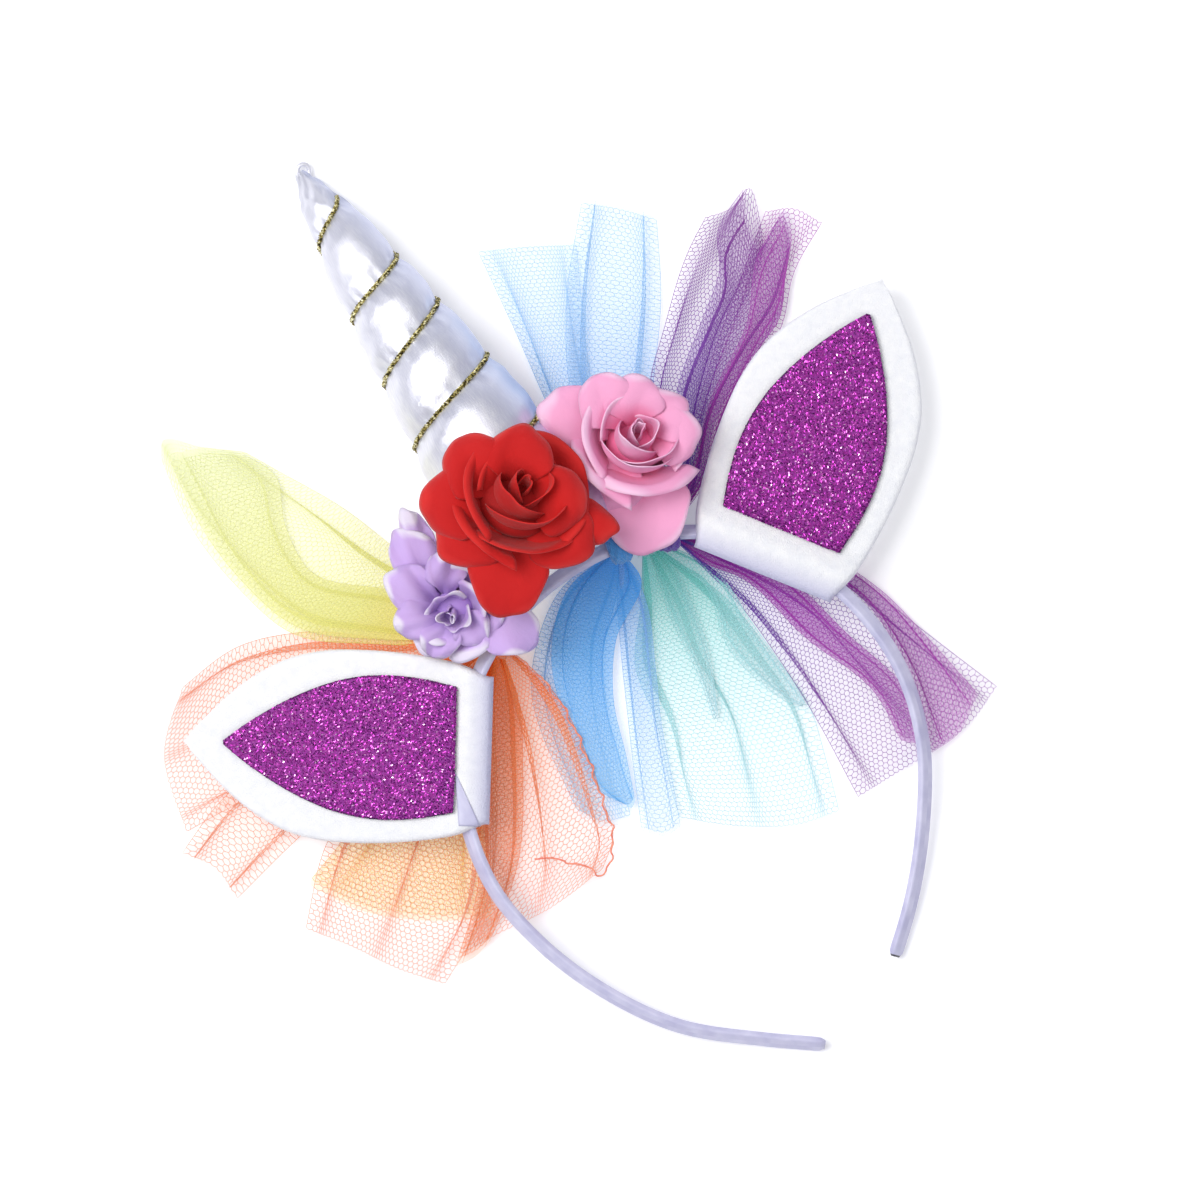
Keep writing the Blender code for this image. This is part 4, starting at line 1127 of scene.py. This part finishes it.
# wrapped petals, from the lean: turn, half angle, radius at belly and lip, height, curl
CUPS = {
    "rose_red": [
        (160, 50, 13.6, 18.0, 8.5, 1.6), (222, 60, 13.8, 17.5, 10.5, 1.0),
        (-42, 64, 12.8, 18.5, 13.5, 1.4), (98, 82, 12.8, 14.6, 16.0, 2.0),
        (-120, 95, 11.2, 11.8, 16.5, 0.6), (36, 90, 9.6, 10.4, 18.3, 1.2),
        (165, 88, 8.4, 7.6, 18.6, 0.5), (-60, 96, 6.2, 5.8, 19.0, 0.6),
        (110, 100, 4.2, 3.4, 18.8, 0.2), (-20, 140, 2.0, 1.4, 18.0, 0.0),
    ],
    "rose_pink": [
        (150, 50, 12.8, 16.6, 10.5, 2.4), (212, 60, 12.2, 15.6, 11.6, 2.6),
        (-40, 66, 11.4, 13.8, 13.0, 1.4), (96, 72, 11.4, 13.8, 15.0, 1.8),
        (196, 84, 10.6, 10.4, 14.6, 0.8), (-120, 80, 9.6, 9.8, 16.0, 0.8),
        (36, 90, 8.4, 9.0, 17.0, 0.8), (160, 92, 7.0, 6.2, 17.4, 0.5),
        (-60, 100, 5.0, 4.2, 17.2, 0.4), (90, 120, 3.2, 2.4, 16.8, 0.2),
        (-20, 140, 1.6, 1.1, 16.0, 0.0),
    ],
    "rose_lilac": [
        (190, 52, 9.0, 13.0, 6.6, 1.8), (70, 56, 8.4, 12.0, 8.6, 2.0),
        (-60, 58, 7.8, 11.0, 8.6, 1.6), (130, 60, 6.6, 8.6, 10.2, 1.2),
        (-10, 66, 5.6, 7.4, 11.0, 1.2), (-130, 74, 4.6, 5.8, 11.4, 0.9),
        (60, 80, 3.6, 4.2, 11.8, 0.6), (-60, 100, 2.4, 2.4, 12.2, 0.3),
        (130, 150, 1.2, 0.9, 12.0, 0.0),
    ],
}
# root in painted shade, body in the cloth's own colour, lip with a painted highlight
PETAL_SHADE_BODY_HIGHLIGHT = {
    "rose_red": ("#8c0709", "#cc1413", "#dc2622"),
    "rose_pink": ("#ee5a8e", "#fcaed6", "#fecdea"),
    "rose_lilac": ("#a680d2", "#d6b6f1", "#f4eafd"),
}
# roughness of the cloth; how much lighter its raised folds are painted than its hollows, as painted shade and
# highlight
PETAL_ROUGHNESS = {"rose_red": 0.75, "rose_pink": 0.68, "rose_lilac": 0.30}
PETAL_PAINTED_SHADE = 0.12
PETAL_ROWS = 22
PETAL_COLUMNS = 32
PETAL_THICK = 0.28
PETAL_CLOTH = (30, 40)
# folds: height, waves across and along a petal, and shift from one petal to the next
LIP_FOLDS = [(0.40, 3.6, 2, 1.7), (0.18, 8.5, 5, -2.1)]
ALL_FOLDS = [(0.10, 4, 9, 1)]
# creases: the same, and the share of their height that lies below the petal
CREASES = [(1, 2.9, 1.6, 2.3)]
CREASE_HIGH = 0.34
CREASE_BELOW = 0.6
# outer petals: distance of the root from the centre; width at the root, how it swells and how
# it draws in; how far the lip's corners fall back; a tip's length, half width and way aside,
# and ripples of the lip, as shares of the reach; power by which rows crowd towards the lip
PETAL_ROOT = 1.5
PETAL_WIDTHS = (0.55, 0.9, 0.75)
PETAL_CORNERS = 0.24
PETAL_TIP = (0.035, 0.22, 0.15)
PETAL_LIP_RIPPLES = [(0.016, 7, 0, 2.3)]
PETAL_ROWS_POWER = 0.85
# where the lip and the sides start to curl, and how far down they go; lift from one to the next
PETAL_LIP_CURL = (0.8, 1.3)
PETAL_SIDE_CURL = (0.6, 0.9)
PETAL_LIFT = 0.12
# wrapped petals: the same, with the share of the belly at the root and how full the belly is
CUP_WIDTHS = (0.62, 0.66, 0.28)
CUP_CORNERS = 0.34
CUP_CORNER_POWER = 2.4
CUP_TIP = (0.05, 0.18, 0.3)
CUP_LIP_CURL = (0.78, 0.9)
CUP_ROOT = 0.35
CUP_BELLY = 2.3
CUP_SPIRAL = 0.10
# the bud's filling: sides, rings, share of the way to its poles, share of the bud's radius,
# middle height and half height, and its painted shade as a run value near the root's dark end
HEART_SIDES = 40
HEART_RINGS = 20
HEART_POLES = 0.98
HEART_FULL = 0.9
HEART_HEIGHTS = (0.4, 0.4)
HEART_PAINTED_SHADE = 0.15

along = np.linspace(0, 1, PETAL_ROWS)[:, None]
across = np.linspace(-1, 1, PETAL_COLUMNS)[None, :]


def petal_waves(waves, order):
    """Waves over a petal, shifted by its place in the rose's order."""
    return ripple([(*wave[:3], wave[3] * order) for wave in waves], across, along)


def crumple(order, much):
    """Soft folds and creases of starched cloth over a petal, stronger towards the lip."""
    crease = np.abs(petal_waves(CREASES, order)) - CREASE_BELOW
    return much * (petal_waves(LIP_FOLDS, order) * along**2 + petal_waves(ALL_FOLDS, order)
                   + CREASE_HIGH * crease * along)


def petal_tip(tip, phase):
    """A soft tip on a petal's lip, as a share of its reach."""
    length, half_wide, aside = tip
    return length * np.exp(-((across - aside * math.sin(phase)) / half_wide) ** 2)


def curled(place, start):
    """How far the cloth has curled over at a place past the start, from 0 to 1."""
    return np.clip((place - start) / (1 - start), 0, 1) ** 2


def petal_points(centre, base, petal, order, much):
    """An outer petal, spread out flat: rows from root to lip, columns from side to side."""
    turn, reach, half_angle, root, middle, lip = petal
    narrow, swell, drawn = PETAL_WIDTHS
    width = math.radians(half_angle) * (narrow + swell * along - drawn * along**3)
    angle = math.radians(turn) + across * width
    uneven = petal_waves(PETAL_LIP_RIPPLES, order) + petal_tip(PETAL_TIP, order * 2)
    lobe = 1 - PETAL_CORNERS * along * across**2 + uneven * along**3
    out = PETAL_ROOT + (reach - PETAL_ROOT) * along**PETAL_ROWS_POWER * lobe
    height = (root * (1 - along) * (1 - 2 * along) + 4 * middle * along * (1 - along)
              + lip * along * (2 * along - 1))
    height = (height + crumple(order, much)
              - PETAL_LIP_CURL[1] * curled(along, PETAL_LIP_CURL[0])
              - PETAL_SIDE_CURL[1] * curled(np.abs(across), PETAL_SIDE_CURL[0]) * along
              + PETAL_LIFT * order % 1.0)
    x = centre[0] + out * np.cos(angle)
    y = centre[1] + out * np.sin(angle)
    return np.stack([x, y, base + height], axis=-1)


def leaning(place, base, toward, lean, out, angle, up):
    """Points round a bud's axis; the axis leans over in the direction toward."""
    toward, lean = math.radians(toward), math.radians(lean)
    ahead = np.array((math.cos(lean) * math.cos(toward), math.cos(lean) * math.sin(toward), -math.sin(lean)))
    aside = np.array((-math.sin(toward), math.cos(toward), 0))
    axis = np.array((math.sin(lean) * math.cos(toward), math.sin(lean) * math.sin(toward), math.cos(lean)))
    out, angle, up = (a[..., None] for a in np.broadcast_arrays(out, angle, up))
    return (*place, base) + ahead * (out * np.cos(angle)) + aside * (out * np.sin(angle)) + axis * up


def cup_points(rose, cup, order):
    """A petal wrapped round the bud: rows from root to lip, columns from side to side."""
    place, base, toward, lean, _, _, much, _ = rose
    turn, half_angle, belly, lip, height, curl = cup
    narrow, swell, drawn = CUP_WIDTHS
    width = math.radians(half_angle) * (narrow + swell * along - drawn * along**2)
    angle = math.radians(turn) + across * width
    roll = curl * curled(along, CUP_LIP_CURL[0])
    folds = crumple(order, much) / 2
    out = (CUP_ROOT * belly * (1 - along) ** 2 + CUP_BELLY * belly * along * (1 - along) + lip * along**2
           + roll + CUP_SPIRAL * belly * across * along + folds)
    lobe = (1 - CUP_CORNERS * np.abs(across) ** CUP_CORNER_POWER * along
            + petal_tip(CUP_TIP, order * 3 + 1) * along**4)
    up = height * along * lobe - CUP_LIP_CURL[1] * roll + folds
    return leaning(place, base, toward, lean, out, angle, up)


def bud_heart(rose):
    """The filled middle of the bud, which carries the petals."""
    place, base, toward, lean, radius, height, _, _ = rose
    turn = np.linspace(0, 2 * math.pi, HEART_SIDES, endpoint=False)[None, :]
    rise = np.linspace(-1, 1, HEART_RINGS)[:, None] * math.pi / 2 * HEART_POLES
    return leaning(place, base, toward, lean, radius * HEART_FULL * np.cos(rise), turn,
                   height * (HEART_HEIGHTS[0] + HEART_HEIGHTS[1] * np.sin(rise)))


def joined(name, pieces):
    """One object from several, in the order given."""
    with bpy.context.temp_override(active_object=pieces[0], selected_editable_objects=pieces):
        bpy.ops.object.join()
    pieces[0].name = name
    return pieces[0]


def petal_finish(name):
    """Petal cloth in its own colour, with painted shade making it deeper at the root and in the hollows of
    its folds, and a painted highlight making it paler on raised folds and at the lip.
    """
    root, body, lip = PETAL_SHADE_BODY_HIGHLIGHT[name]
    return new_finish(
        f"{name}_cloth", PETAL_ROUGHNESS[name],
        {"Sheen Weight": 0.12, "Sheen Roughness": 0.4, "Specular IOR Level": 0.35},
        Base_Color=lambda w: w.value("run").colours((0, root), (0.5, body), (0.88, body), (1, lip)),
        Normal=lambda w: w.bump(w.weave(w.cloth_place(), 2.2, 2.2) * 0.4
                                + w.noise(w.cloth_place(), 0.5, 3), 0.00012))


for name, rose in ROSES.items():
    base, much, slot = rose[1], rose[6], rose[7]
    places = cloth_grid(PETAL_ROWS, PETAL_COLUMNS, *PETAL_CLOTH)
    shapes = [(order, petal_points(ROSE_CENTRES[name], base, petal, order, much))
              for order, petal in enumerate(PETALS[name])]
    shapes += [(order, cup_points(rose, cup, order)) for order, cup in enumerate(CUPS[name])]
    # the run value carries painted shade and highlight: darker towards the root and in the folds' hollows,
    # lighter on raised folds and at the lip
    parts = [make_grid(f"{name}_petal", points, places,
                       marks={"run": along + PETAL_PAINTED_SHADE * crumple(order, much)})
             for order, points in shapes]
    cloth = joined(f"{name}_cloth", parts)
    wall = cloth.modifiers.new("cloth", "SOLIDIFY")
    wall.thickness = PETAL_THICK * MM
    wall.offset = 0
    # the heart takes the petals' painted root shade
    heart = make_grid(f"{name}_heart", bud_heart(rose), cloth_grid(HEART_RINGS, HEART_SIDES, 15, 30, True),
                      True, {"run": np.full((HEART_RINGS, HEART_SIDES), HEART_PAINTED_SHADE)})
    finish = petal_finish(name)
    dress(cloth, finish, slot, name)
    dress(heart, finish, slot)


# Stage: a plain white floor under soft light from above and from the left of the picture,
# seen straight from above as in the photograph.
PICTURE_CENTRE = (7.0, 57.2)
PICTURE_WIDE = 0.336
CAMERA_HEIGHT = 1.8
SENSOR_WIDE = 36
PICTURE_TURN = math.radians(-36)
FLOOR_HALF = 3
FLOOR_BELOW = 0.0001

mesh = bpy.data.meshes.new("floor")
mesh.from_pydata([(x * FLOOR_HALF, y * FLOOR_HALF, -FLOOR_BELOW)
                  for x, y in ((-1, -1), (1, -1), (1, 1), (-1, 1))], [], [(0, 1, 2, 3)])
floor = new_object("floor", mesh)
mesh.materials.append(new_finish("white_floor", 0.9, {
    "Base Color": (0.93, 0.93, 0.94, 1), "Specular IOR Level": 0.2,
    "Emission Color": (1, 1, 1, 1), "Emission Strength": 0.22}))

centre = laid((*PICTURE_CENTRE, 0))
camera = new_object("camera", bpy.data.cameras.new("camera"))
camera.location = (centre[0], centre[1], CAMERA_HEIGHT)
camera.rotation_euler = (0, 0, PICTURE_TURN)
camera.data.sensor_width = SENSOR_WIDE
camera.data.lens = SENSOR_WIDE * CAMERA_HEIGHT / PICTURE_WIDE
camera.data.clip_end = 20
bpy.context.scene.camera = camera

# direction from the object in the picture (right, up), distance, height, size, power
LIGHTS = {
    "key_light": (-0.8, 0.3, 0.9, 1.3, 0.9, 16.0),
    "fill_light": (0.9, -0.4, 1.0, 1.2, 1.2, 4.0),
}
right = np.array((math.cos(PICTURE_TURN), math.sin(PICTURE_TURN)))
up = np.array((-math.sin(PICTURE_TURN), math.cos(PICTURE_TURN)))
for name, (across, above, distance, height, size, power) in LIGHTS.items():
    light = new_object(name, bpy.data.lights.new(name, "AREA"))
    flat = centre[:2] + (right * across + up * above) * distance
    light.location = (flat[0], flat[1], height)
    aim = Vector((centre[0], centre[1], 0)) - light.location
    light.rotation_euler = aim.to_track_quat("-Z", "Y").to_euler()
    light.data.size = size
    light.data.energy = power

world = bpy.data.worlds.new("studio")
world.use_nodes = True
sky = Wire(world.node_tree)
height = sky.node("ShaderNodeTexCoord", None, None, "Generated").part(2)
tone = height.colours((0.0, "#7c84b8"), (0.30, "#8f98c8"), (0.65, "#ffffff"), (1, "#ffffff"))
background = world.node_tree.nodes["Background"]
world.node_tree.links.new(tone.socket, background.inputs["Color"])
background.inputs["Strength"].default_value = 0.5
bpy.context.scene.world = world
bpy.context.scene.view_settings.view_transform = "Standard"
